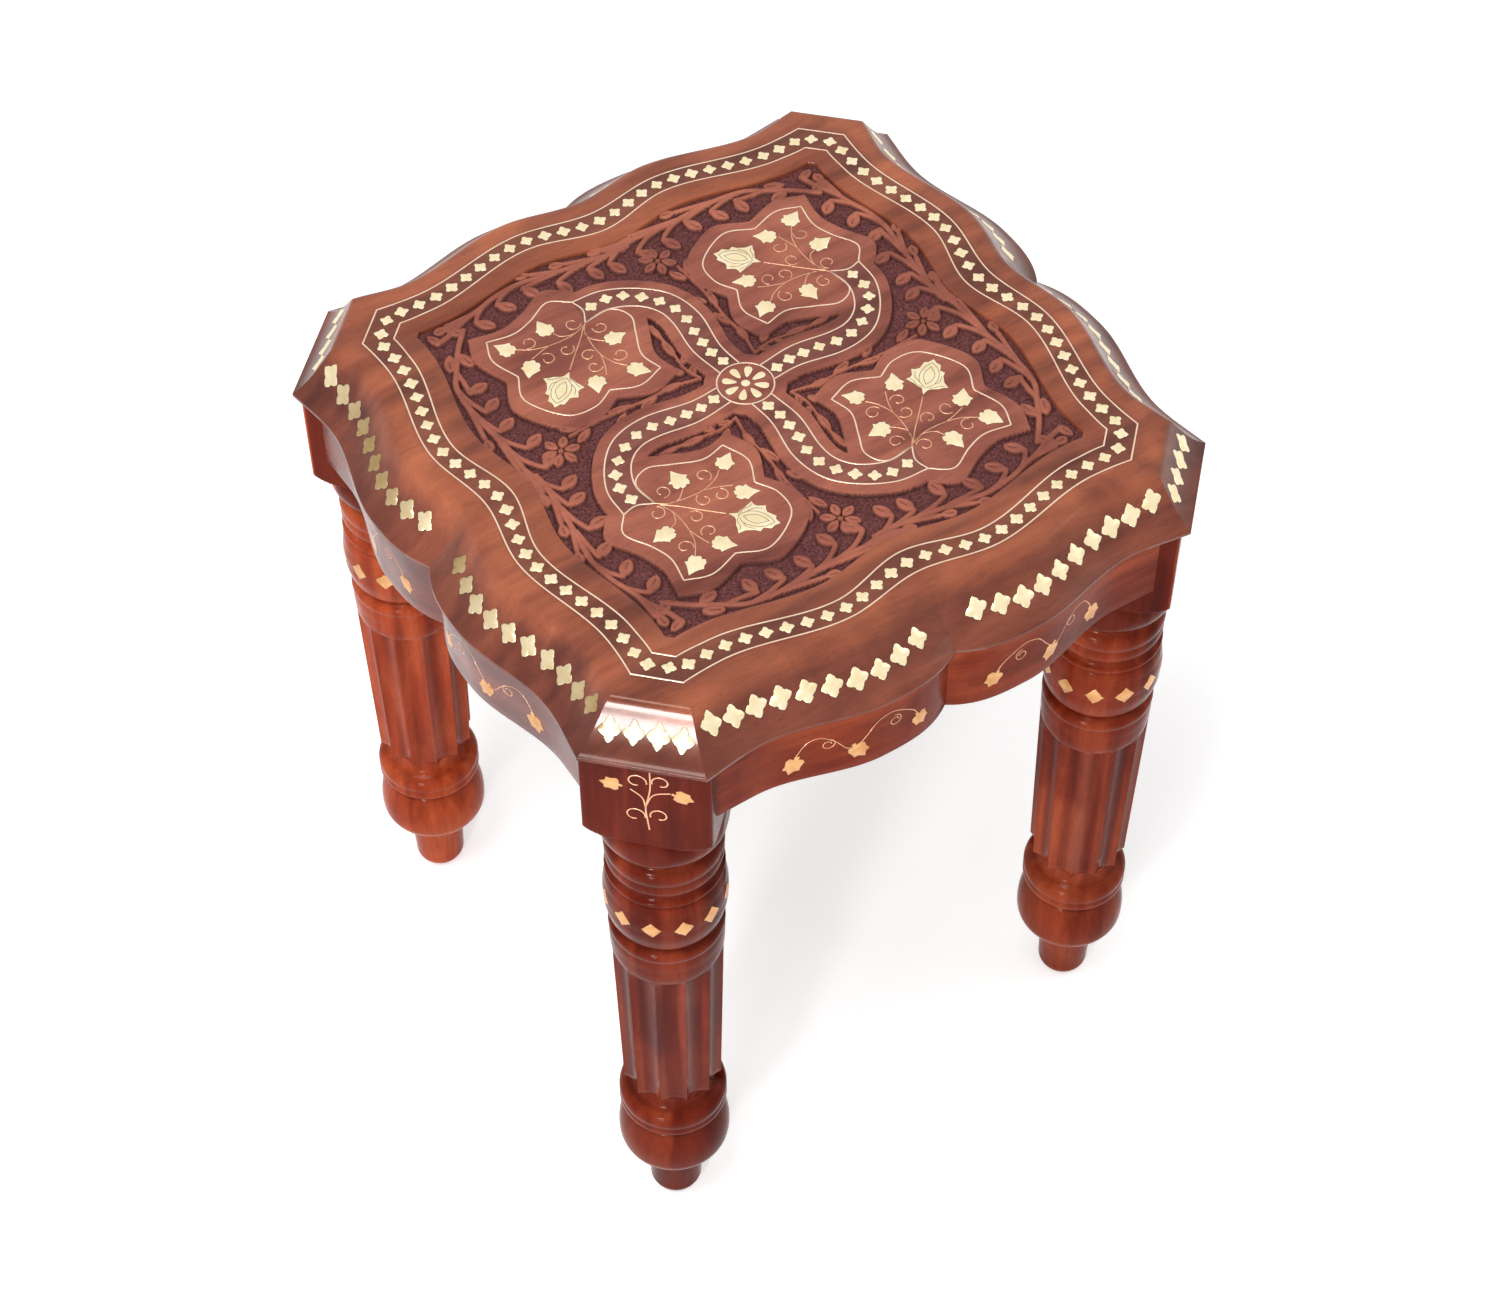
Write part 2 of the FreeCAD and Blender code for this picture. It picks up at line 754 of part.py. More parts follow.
def arc_or_line(start, end, bow):
    """Profile edge from start to end, bowed outwards by a share of its length."""
    a = FreeCAD.Vector(start[0], 0, start[1])
    b = FreeCAD.Vector(end[0], 0, end[1])
    if bow == 0:
        return Part.makeLine(a, b)
    run = b - a
    side = FreeCAD.Vector(run.z, 0, -run.x)
    return Part.Arc(a, (a + b) / 2 + side * bow, b).toShape()


def revolved(name, profile):
    """Turned piece from (radius, level, bow) points, closed on its axis."""
    places = [(r, z) for r, z, bow in profile]
    edges = [arc_or_line(p, q, bow) for p, q, (r, z, bow) in zip(places, places[1:], profile[1:])]
    corners = [places[-1], (0.0, places[-1][1]), (0.0, places[0][1]), places[0]]
    edges += [arc_or_line(p, q, 0) for p, q in zip(corners, corners[1:])]
    item = doc.addObject("Part::Revolution", name)
    item.Source = held(name + "_profile", Part.Face(joined(edges)))
    item.Axis = UP
    item.Angle = 4 * QUARTER
    item.Solid = True
    return item


def lower_turning():
    """Foot, lower bulb, lower bead and cove, up to the underside of the column."""
    convex = size("convex_share")
    return revolved("leg_lower_turning", (
        (size("foot_sole_radius"), 0.0, 0.0),
        (size("foot_waist_radius"), size("foot_waist_level"), convex),
        (size("foot_neck_radius"), size("foot_top_level"), 0.0),
        (size("bulb_under_radius"), size("bulb_under_level"), 0.0),
        (size("bulb_radius"), size("bulb_level"), size("gentle_share")),
        (size("seam_radius"), size("seam_level"), size("slight_share")),
        (size("lower_bead_radius"), size("lower_bead_level"), convex),
        (size("core_radius"), size("cove_level"), convex),
        (size("core_radius"), size("column_foot_level"), 0.0),
    ))


def upper_turning():
    """Shoulder, band bulb, ring, bead and dome, up to the block."""
    convex = size("convex_share")
    gentle = size("gentle_share")
    return revolved("leg_upper_turning", (
        (size("core_radius"), size("shoulder_foot_level"), 0.0),
        (size("shoulder_foot_radius"), size("shoulder_foot_level"), 0.0),
        (size("shoulder_radius"), size("shoulder_level"), convex),
        (size("neck_radius"), size("neck_level"), convex),
        (size("band_radius"), size("band_level"), convex),
        (size("band_top_radius"), size("ring_foot_level"), gentle),
        (size("ring_radius"), size("ring_foot_level"), 0.0),
        (size("ring_radius"), size("ring_level"), 0.0),
        (size("ring_neck_radius"), size("ring_top_level"), 0.0),
        (size("bead_radius"), size("bead_level"), gentle),
        (size("collar_radius"), size("collar_level"), convex),
        (size("dome_radius"), size("dome_top_level"), convex),
        (size("dome_radius"), size("block_corner_level"), 0.0),
    ))


def corner_block():
    """Square block whose lower corners are turned away."""
    limit = revolved("leg_block_limit", (
        (size("dome_radius"), size("dome_top_level"), 0.0),
        (size("block_corner_radius"), size("block_corner_level"), size("round_share")),
        (size("block_corner_radius"), LEVEL_UNDER, 0.0),
    ))
    rise = EXPRESSIONS["under"] + " - sizes.dome_top_level"
    blank = stock("leg_block_stock", "0", "0", "sizes.dome_top_level", rise)
    return boolean("Part::MultiCommon", "leg_block", blank, [limit])


def scalloped_wire(radius, level):
    """Closed wire of hollow arcs that meet on a circle."""
    number = count("flute_count")
    hollow = radius - size("flute_depth")
    edges = []
    for step in range(number):
        places = []
        for turn, reach in ((step, radius), (step + 0.5, hollow), (step + 1, radius)):
            angle = 2 * math.pi * turn / number
            places.append(FreeCAD.Vector(reach * math.cos(angle), reach * math.sin(angle), level))
        edges.append(Part.Arc(*places).toShape())
    return Part.Wire(edges)


def fluted_column():
    """Tapered column with hollow flutes that end in arches under the shoulder."""
    sections = (
        ("column_foot", "column_foot_radius", "column_foot_level"),
        ("column_top", "column_top_radius", "column_top_level"),
    )
    loft = doc.addObject("Part::Loft", "leg_fluted_column")
    loft.Sections = [
        held(name, scalloped_wire(size(radius), size(level)))
        for name, radius, level in sections
    ]
    loft.Solid = True
    loft.Ruled = True
    return loft


def leg_mortise(name, turn):
    """Mortise for the apron on one side of the leg, in the leg's own place."""
    item = tongue(name, False, " + sizes.mortise_spare")
    doc.recompute()
    shape = item.Shape.copy()
    shape.translate(FreeCAD.Vector(size("leg_axis"), size("leg_axis"), 0))
    if turn:
        shape = shape.mirror(MIDDLE, FreeCAD.Vector(1, -1, 0))
    return held(name + "_on_axis", shape)


def whole_leg():
    """One leg with its tenon and its two mortises."""
    tenon = bound(
        "Part::Cylinder", "leg_tenon",
        Radius="sizes.leg_tenon_radius", Height="sizes.leg_tenon_length", at_z=EXPRESSIONS["under"],
    )
    parts = [fluted_column(), upper_turning(), corner_block(), tenon]
    solid = boolean("Part::MultiFuse", "leg_solid", lower_turning(), parts)
    mortises = [leg_mortise("leg_mortise_one", False), leg_mortise("leg_mortise_two", True)]
    both = boolean("Part::MultiFuse", "leg_mortises", mortises[0], mortises[1:])
    return boolean("Part::Cut", "leg_mortised", solid, [both])


def band_diamond_chips():
    """Brass diamonds round the band of a leg."""
    number = count("band_diamond_count")
    inner = size("band_radius") - size("inlay_thickness")
    level = size("band_level")
    outline = [FreeCAD.Vector(inner, v, level + u) for u, v in diamond(size("band_diamond_reach"))]
    chips = []
    for step in range(number):
        chip = polygon(outline).extrude(FreeCAD.Vector(size("inlay_thickness"), 0, 0))
        chip.rotate(MIDDLE, UP, 360.0 * step / number + QUARTER / 2)
        chips.append(chip)
    return chips


def sprig_leaf_chips():
    """Two brass leaves on the outward face of a leg's block."""
    front = size("block_width") / 2
    outline = scaled(TULIP_SHARES, size("sprig_leaf_size"))
    chips = []
    for sign in (1, -1):
        turn = QUARTER - QUARTER * sign
        shape = set_at(outline, sign * size("sprig_leaf_out"), size("sprig_leaf_level"), turn)
        face = polygon([FreeCAD.Vector(-front, x, z) for x, z in shape])
        chip = face.extrude(FreeCAD.Vector(size("inlay_thickness"), 0, 0))
        chip.rotate(MIDDLE, UP, QUARTER / 2)
        chips.append(chip)
    return chips


# The whole table.

def check(item):
    """Stop if an object failed or its shape is missing or broken."""
    bad = [state for state in item.State if state in ("Invalid", "Error")]
    if bad or item.Shape.isNull() or not item.Shape.isValid():
        raise RuntimeError("bad shape in " + item.Name)


def corner_signs(quarter):
    """Signs of the place of one corner along the two axes."""
    return (("-", "-"), ("", "-"), ("", ""), ("-", ""))[quarter]


def node(name, shapes, quarter=0, at_corner=False):
    """Object of one node, turned to its quarter and placed by the sheet."""
    solids = shapes if isinstance(shapes, list) else [shapes]
    item = held(name, solids[0] if len(solids) == 1 else Part.makeCompound(solids))
    item.Label = name
    item.Placement = FreeCAD.Placement(MIDDLE, FreeCAD.Rotation(UP, QUARTER * quarter))
    if at_corner:
        x, y = corner_signs(quarter)
        item.setExpression("Placement.Base.x", x + "sizes.leg_axis")
        item.setExpression("Placement.Base.y", y + "sizes.leg_axis")
    return item


def settled(item):
    """Shape of a document object, once everything that it is made from is made."""
    doc.recompute()
    for each in doc.Objects:
        if "Invalid" in each.State or "Error" in each.State:
            raise RuntimeError("bad object " + each.Name)
    return item.Shape


brass_objects = {
    "brass_border_wire_outer": [border_wire("border_wire_outer", "outer_wire")],
    "brass_border_wire_inner": [border_wire("border_wire_inner", "inner_wire")],
    "brass_border_diamonds": [plates("border_diamond", border_diamonds())],
    "brass_arm_wires": [plates("arm_wire", arm_wires())],
    "brass_arm_diamonds": [plates("arm_diamond", arm_diamonds())],
    "brass_cartouche_wires": [plates("cartouche_wire", cartouche_wires())],
    "brass_cartouche_leaves": [plates("leaf", cartouche_leaves())],
    "brass_lotus_flowers": [plates("lotus", lotus_flowers())],
    "brass_rosette_ring": [rosette_ring()],
    "brass_rosette_petals": [
        plates("rosette_petal", rosette_petals()),
        rosette_disc("rosette_dot", "sizes.rosette_dot"),
    ],
}
blank_object = board_blank()
waste = field_waste()
sockets = leg_sockets()
apron_object = fitted_apron()
leg_object = whole_leg()
blank = settled(blank_object)

brass = {
    name: [solid for item in items for solid in item.Shape.Solids]
    for name, items in brass_objects.items()
}
flat_brass = [solid for solids in brass.values() for solid in solids]
chips, chip_pockets = skin_chips(bevel_chip_tools(), blank, -UP)
brass["brass_bevel_chips"] = all_quarters(chips)
pockets = [waste.Shape] + [socket.Shape for socket in sockets]
pockets += flush_pockets(flat_brass, UP, size("field_depth")) + all_quarters(chip_pockets)
nodes = [node("top_board", blank.cut(pockets))]
nodes += [node(name, solids) for name, solids in brass.items()]

apron_leaves, apron_pockets = apron_leaf_chips(apron_object.Shape)
apron = apron_object.Shape.cut(apron_pockets)
nodes += [node("apron_" + SIDES[quarter], apron, quarter) for quarter in QUARTERS]
nodes.append(node("brass_apron_leaves", all_quarters(apron_leaves)))

band_diamonds = band_diamond_chips()
sprig_leaves = sprig_leaf_chips()
leg = leg_object.Shape.cut(band_diamonds + sprig_leaves)
corner = FreeCAD.Vector(-size("leg_axis"), -size("leg_axis"), 0)
nodes += [node("leg_" + CORNERS[quarter], leg, quarter, True) for quarter in QUARTERS]
for name, chips in (("brass_leg_diamonds", band_diamonds), ("brass_sprig_leaves", sprig_leaves)):
    nodes.append(node(name, all_quarters([chip.translated(corner) for chip in chips])))

doc.recompute()
for item in nodes:
    check(item)
    item.Shape.exportStep("parts/" + item.Label + ".step")
    print(item.Label, "solids", len(item.Shape.Solids), "volume", round(item.Shape.Volume))
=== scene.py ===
"""Visual model of a carved low table with brass inlay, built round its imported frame.

Plan sizes below are design millimetres of the table. One factor, read from the frame's
height, turns them into metres, so the model always has the frame's real size.
"""

import logging
import math
from collections.abc import Callable, Sequence
from dataclasses import dataclass, field, replace
from enum import Enum

import bmesh
import bpy
import numpy as np
from mathutils import Matrix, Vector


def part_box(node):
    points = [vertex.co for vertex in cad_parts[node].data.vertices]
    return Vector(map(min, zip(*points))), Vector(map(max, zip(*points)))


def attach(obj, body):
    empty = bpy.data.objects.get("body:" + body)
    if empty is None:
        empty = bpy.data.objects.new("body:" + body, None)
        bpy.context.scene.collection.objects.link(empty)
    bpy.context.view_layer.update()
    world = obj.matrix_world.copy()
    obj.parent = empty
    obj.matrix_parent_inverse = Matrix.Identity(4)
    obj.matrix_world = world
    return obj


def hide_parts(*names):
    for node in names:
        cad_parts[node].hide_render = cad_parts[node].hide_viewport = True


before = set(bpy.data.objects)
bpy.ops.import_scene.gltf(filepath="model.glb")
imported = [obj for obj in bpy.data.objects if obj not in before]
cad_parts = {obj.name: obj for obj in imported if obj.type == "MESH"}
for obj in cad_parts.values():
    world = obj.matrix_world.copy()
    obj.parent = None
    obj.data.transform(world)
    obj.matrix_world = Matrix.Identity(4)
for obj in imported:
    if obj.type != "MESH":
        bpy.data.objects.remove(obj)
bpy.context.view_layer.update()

log = logging.getLogger("table")

Pair = tuple[float, float]
Place = Pair
Triple = tuple[float, float, float]
Colour = Triple
Route = tuple[Place, ...]
Scroll = tuple[Place, float, float, float]
Turning = tuple[float, float, float, int]
Array = np.ndarray
Thing = bpy.types.Object
Material = bpy.types.Material
Socket = bpy.types.NodeSocket
FaceMap = Callable[[Array, Array], Array]

DESIGN_HEIGHT = 370.0
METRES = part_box("top_board")[1][2] / DESIGN_HEIGHT
SIDE_NAMES = ("front", "right", "back", "left")
CORNER_NAMES = ("front_left", "front_right", "back_right", "back_left")
QUARTERS = (0, 1, 2, 3)
CORNER_TURN = math.radians(225.0)
BODY = "root"
NO_LENGTH = 1e-12
FAR_AWAY = 1e9


class Slot(Enum):
    """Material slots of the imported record."""

    TOP = "wood_top"
    APRON = "wood_apron"
    LEG = "wood_leg"
    BRASS = "brass"


class Metal(Enum):
    """Finishes of the inlay."""

    BRASS = "filed_brass"
    SIDE_BRASS = "copper_toned_brass"
    WIRE = "brass_wire"
    STEM = "copper_wire"
    FILLER = "dark_filler"


# Small geometry helpers


def hermite(u: Array, start: float, end: float, slope_in: float, slope_out: float) -> Array:
    """Cubic that eases from one value to another.

    The value is the sum of the four cubic Hermite basis terms at u.

    Args:
        u: Place between 0 and 1.
        start: Value at 0.
        end: Value at 1.
        slope_in: Slope at 0, already scaled by the span.
        slope_out: Slope at 1, already scaled by the span.

    Returns:
        Values at u.
    """
    rise = (1 + 2 * u) * (1 - u) ** 2 * start + u * u * (3 - 2 * u) * end
    return rise + u * (1 - u) ** 2 * slope_in + u * u * (u - 1) * slope_out


def smoothstep(x: Array, low: float, high: float) -> Array:
    """Smooth rise from 0 at low to 1 at high.

    Args:
        x: Values to map.
        low: Where the rise starts.
        high: Where the rise ends.

    Returns:
        Values between 0 and 1.
    """
    u = np.clip((x - low) / (high - low), 0.0, 1.0)
    return u * u * (3 - 2 * u)


def crowded(count: int, crowding: float = 0.88) -> Array:
    """Steps from 0 to 1 that crowd towards both ends.

    The step is u less the share crowding of sin(2 pi u) / (2 pi).

    Args:
        count: Number of values.
        crowding: How strongly the ends gather points, below 1.

    Returns:
        Rising values from 0 to 1.
    """
    u = np.linspace(0.0, 1.0, count)
    return u - crowding * np.sin(2 * math.pi * u) / (2 * math.pi)


def curve_through(points: Sequence[Sequence[float]], per_span: int = 12) -> Array:
    """Smooth curve through a few points.

    Each span is a cubic whose end slopes are half the chord between its neighbours.

    Args:
        points: Points in the plane or in space.
        per_span: Samples in each span.

    Returns:
        Samples along the curve, both ends included.
    """
    p = np.asarray(points, float)
    ends = (2 * p[:1] - p[1:2], 2 * p[-1:] - p[-2:-1])
    q = np.concatenate([ends[0], p, ends[1]])
    u = np.linspace(0.0, 1.0, per_span, endpoint=False)[:, None]
    spans = []
    for k in range(1, len(q) - 2):
        slope_in = (q[k + 1] - q[k - 1]) / 2
        slope_out = (q[k + 2] - q[k]) / 2
        spans.append(hermite(u, q[k], q[k + 1], slope_in, slope_out))
    return np.concatenate([*spans, p[-1:]])


def curl(centre: Place, radius: float, start: float, turn: float, shrink: float = 0.45) -> Array:
    """Flat scroll that winds in towards its centre.

    The radius falls evenly along the turn, from radius to radius times shrink.

    Args:
        centre: Middle of the scroll.
        radius: Radius where it starts.
        start: Starting angle in degrees.
        turn: Angle it runs through, in degrees, positive for left turns.
        shrink: Share of the radius that is left at the end.

    Returns:
        26 points along the scroll.
    """
    u = np.linspace(0.0, 1.0, 26)
    angle = np.radians(start + turn * u)
    reach = radius * (1 - (1 - shrink) * u)
    return np.stack([centre[0] + reach * np.cos(angle), centre[1] + reach * np.sin(angle)], 1)


def quarter_turned(points: Array, quarter: int) -> Array:
    """Points turned about the table's middle.

    Args:
        points: Plan or space points, x and y first.
        quarter: Number of quarter turns to the left.

    Returns:
        The turned points.
    """
    c, s = ((1, 0), (0, 1), (-1, 0), (0, -1))[quarter % 4]
    turned = np.array(points, float)
    turned[..., 0] = c * points[..., 0] - s * points[..., 1]
    turned[..., 1] = s * points[..., 0] + c * points[..., 1]
    return turned


def left_normals(path: Array) -> Array:
    """Unit normals to the left of a plane path.

    Args:
        path: Points along the path.

    Returns:
        One normal for each point.
    """
    run = np.gradient(path, axis=0)
    run /= np.linalg.norm(run, axis=1, keepdims=True) + NO_LENGTH
    return np.stack([-run[:, 1], run[:, 0]], 1)


def path_distance(x: Array, y: Array, path: Array) -> Array:
    """Distance to an open path, the least over its straight pieces.

    Args:
        x: Plan x of the samples.
        y: Plan y of the samples.
        path: Points along the path.

    Returns:
        Distance at each sample.
    """
    nearest = np.full(x.shape, FAR_AWAY)
    for (ax, ay), (bx, by) in zip(path, path[1:]):
        dx, dy = bx - ax, by - ay
        share = np.clip(((x - ax) * dx + (y - ay) * dy) / (dx * dx + dy * dy + NO_LENGTH), 0.0, 1.0)
        nearest = np.minimum(nearest, (x - ax - share * dx) ** 2 + (y - ay - share * dy) ** 2)
    return np.sqrt(nearest)


def polygon_depth(x: Array, y: Array, outline: Array) -> Array:
    """Signed distance to a closed outline, positive inside.

    The sign comes from counting the straight pieces that a ray along +x crosses.

    Args:
        x: Plan x of the samples.
        y: Plan y of the samples.
        outline: Corner points, the last one joined to the first.

    Returns:
        Distance at each sample.
    """
    ring = np.concatenate([outline, outline[:1]])
    inside = np.zeros(x.shape, bool)
    for (ax, ay), (bx, by) in zip(ring, ring[1:]):
        if ay != by:
            inside ^= ((ay > y) != (by > y)) & (x < (bx - ax) * (y - ay) / (by - ay) + ax)
    distance = path_distance(x, y, ring)
    return np.where(inside, distance, -distance)


# Meshes


def new_mesh(name: str, points: Array, faces: Array, crease: float = 32.0) -> Thing:
    """Mesh object from design points and equal-sided faces.

    Args:
        name: Object name.
        points: Vertices in design millimetres, one row each.
        faces: Vertex numbers, one face to a row, outward when counted to the left.
        crease: Angle in degrees above which an edge stays sharp.

    Returns:
        The linked object, at the origin.
    """
    mesh = bpy.data.meshes.new(name)
    sides = faces.shape[1]
    mesh.vertices.add(len(points))
    mesh.vertices.foreach_set("co", (points * METRES).astype(np.float32).ravel())
    mesh.loops.add(faces.size)
    mesh.loops.foreach_set("vertex_index", faces.astype(np.int32).ravel())
    mesh.polygons.add(len(faces))
    mesh.polygons.foreach_set("loop_start", np.arange(len(faces), dtype=np.int32) * sides)
    mesh.polygons.foreach_set("use_smooth", np.ones(len(faces), bool))
    mesh.update(calc_edges=True)
    mesh.validate()
    mesh.set_sharp_from_angle(angle=math.radians(crease))
    thing = bpy.data.objects.new(name, mesh)
    bpy.context.scene.collection.objects.link(thing)
    return thing


def welded(thing: Thing) -> Thing:
    """Join the repeated points of poles and seams.

    Args:
        thing: Mesh object.

    Returns:
        The same object.
    """
    work = bmesh.new()
    work.from_mesh(thing.data)
    bmesh.ops.remove_doubles(work, verts=work.verts, dist=2e-7)
    work.to_mesh(thing.data)
    work.free()
    return thing


def paint(thing: Thing, name: str, values: Array) -> None:
    """Keep one number for each vertex as an attribute.

    Args:
        thing: Mesh object.
        name: Attribute name.
        values: One value for each vertex.
    """
    layer = thing.data.attributes.new(name, "FLOAT", "POINT")
    layer.data.foreach_set("value", values.astype(np.float32).ravel())


def sheet_faces(rows: int, columns: int, close_rows: bool, close_columns: bool) -> Array:
    """Four-sided faces of a grid of points.

    Args:
        rows: Number of rows.
        columns: Number of columns.
        close_rows: Join the last row to the first.
        close_columns: Join the last column to the first.

    Returns:
        Vertex numbers, four to a face.
    """
    i = np.arange(rows if close_rows else rows - 1)[:, None]
    j = np.arange(columns if close_columns else columns - 1)[None, :]
    here = i * columns + j
    right = i * columns + (j + 1) % columns
    above = ((i + 1) % rows) * columns + j
    beyond = ((i + 1) % rows) * columns + (j + 1) % columns
    return np.stack([here, right, beyond, above], -1).reshape(-1, 4)


def finish_piece(thing: Thing, slot: Slot, material: Material, nodes: Sequence[str]) -> None:
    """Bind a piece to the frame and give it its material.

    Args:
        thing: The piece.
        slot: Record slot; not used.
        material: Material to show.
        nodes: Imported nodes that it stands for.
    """
    thing.data.materials.append(material)
    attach(thing, BODY)
    if nodes:
        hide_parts(*nodes)
    log.info("%s: %d faces", thing.name, len(thing.data.polygons))


# The lobed outline


@dataclass(frozen=True)
class Outline:
    """Lobed square with a chamfer at each corner, in design millimetres."""

    far: float
    near: float
    base: float
    swell: float
    dip: float
    notch_slope: float = 0.0
    corner_slope: float = 0.14
    hump_at: float = 35.0
    flat_at: float = 88.0

    def reach(self, along: Array) -> Array:
        """Distance out from the middle at places along a side.

        Three cubics join the notch, the hump, the flat and the corner.

        Args:
            along: Distance from the middle of the side.

        Returns:
            Distance out from the table's middle.
        """
        s = np.abs(along)
        mid, hump, flat = self.base + self.dip, self.base + self.swell, self.base
        inner = hermite(s / self.hump_at, mid, hump, self.notch_slope * self.hump_at, 0.0)
        span = self.flat_at - self.hump_at
        middle = hermite((s - self.hump_at) / span, hump, flat, 0.0, 0.0)
        span = self.near - self.flat_at
        outer = hermite((s - self.flat_at) / span, flat, self.far, 0.0, self.corner_slope * span)
        past = self.far + self.corner_slope * (s - self.near)
        outer = np.where(s > self.near, past, outer)
        return np.where(s < self.hump_at, inner, np.where(s < self.flat_at, middle, outer))

    def loop(self) -> Array:
        """Closed run of points round the outline, starting at the front left corner.

        Returns:
            Plan points, the last one not repeated.
        """
        return ring_between(self, self, 0.0, 60, 16)

    def moved(self, distance: float) -> "Outline":
        """Outline at a distance outside this one.

        Args:
            distance: How far out, negative for inwards.

        Returns:
            The new outline.
        """
        return Outline(
            self.far + distance, self.near + distance / 2, self.base + distance, self.swell,
            self.dip, self.notch_slope, self.corner_slope, self.hump_at, self.flat_at,
        )


def ring_between(inner: Outline, outer: Outline, share: float, per_half: int, per_chamfer: int) -> Array:
    """Closed ring of points between two outlines.

    A point lies the given share of the way out from one outline to the other, at the
    same distance along the side, and points crowd at notches and corners.

    Args:
        inner: Outline at share 0.
        outer: Outline at share 1.
        share: Place between the two, which may lie past either.
        per_half: Points in half a side.
        per_chamfer: Points across a chamfer.

    Returns:
        Plan points of the ring.
    """
    near = inner.near + (outer.near - inner.near) * share
    far = inner.far + (outer.far - inner.far) * share
    half = crowded(per_half) * near
    along = np.concatenate([-half[::-1], half[1:]])
    out = inner.reach(along) * (1 - share) + outer.reach(along) * share
    out[0] = out[-1] = far
    side = np.stack([along, -out], 1)
    u = crowded(per_chamfer)[1:-1, None]
    chamfer = np.array([[near, -far]]) * (1 - u) + np.array([[far, -near]]) * u
    whole = np.concatenate([side, chamfer])
    return np.concatenate([quarter_turned(whole, quarter) for quarter in QUARTERS])


LIP = Outline(152.5, 116.4, 149.0, 10.0, 2.5, notch_slope=0.62)
CREST = Outline(134.3, 111.6, 130.0, 9.5, 4.0)
OUTER_WIRE = Outline(121.7, 107.0, 120.3, 9.0, 3.7)
INNER_WIRE = Outline(109.3, 102.5, 109.0, 10.3, 2.8)
DIAMOND_PATH = Outline(115.5, 104.75, 114.65, 9.65, 3.25)
FIELD = Outline(100.5, 98.0, 100.0, 8.5, 3.0)
APRON = Outline(145.4, 120.0, 144.5, 11.0, 3.0, notch_slope=0.70, corner_slope=0.03)
CHIP_PATH = Outline(138.6, 116.4, 138.6, 10.4, 4.0, corner_slope=0.0)


@dataclass(frozen=True)
class Board:
    """Levels and edge shape of the top board."""

    wood_top: float = 369.85
    under: float = 347.0
    lip_top: float = 349.6
    field_depth: float = 2.3
    dish: float = 1.45
    crest_softness: float = 0.07
    lip_round: float = 0.6

    def bevel_drop(self, share: Array) -> Array:
        """Drop below the flat top at a share of the way down the bevel.

        The share is first softened near the crest, by half of itself plus the root of
        its square and the softness squared, and then 1 - (1 - share) ^ dish is the drop.

        Args:
            share: 0 at the crest and 1 at the lip.

        Returns:
            Drop in design millimetres.
        """
        soft = (share + np.sqrt(share * share + self.crest_softness**2)) / 2
        soft = np.clip(soft, 0.0, 1.0)
        return (self.wood_top - self.lip_top) * (1 - (1 - soft) ** self.dish)

    def bevel_level(self, out: Array, crest: Array, lip: Array) -> Array:
        """Height of a bevel at a distance out.

        Args:
            out: Distance out from the middle.
            crest: Distance at which the bevel starts.
            lip: Distance at which it ends.

        Returns:
            Level above the floor.
        """
        return self.wood_top - self.bevel_drop((out - crest) / (lip - crest))


BOARD = Board()


@dataclass(frozen=True)
class Ring:
    """One ring of the rim: where it lies between two outlines, its level, its stains and its painted shade.
    """

    inner: Outline
    outer: Outline
    share: float
    level: float
    stain: float = 0.0
    shade: float = 0.3

    @classmethod
    def on(cls, outline: Outline, level: float, stain: float = 0.0, shade: float = 0.3) -> "Ring":
        """Ring that follows one outline.

        Args:
            outline: Outline to follow.
            level: Level above the floor.
            stain: Share of the dark stain between the wires.
            shade: Share of painted shade.

        Returns:
            The ring.
        """
        return cls(outline, outline, 0.0, level, stain, shade)


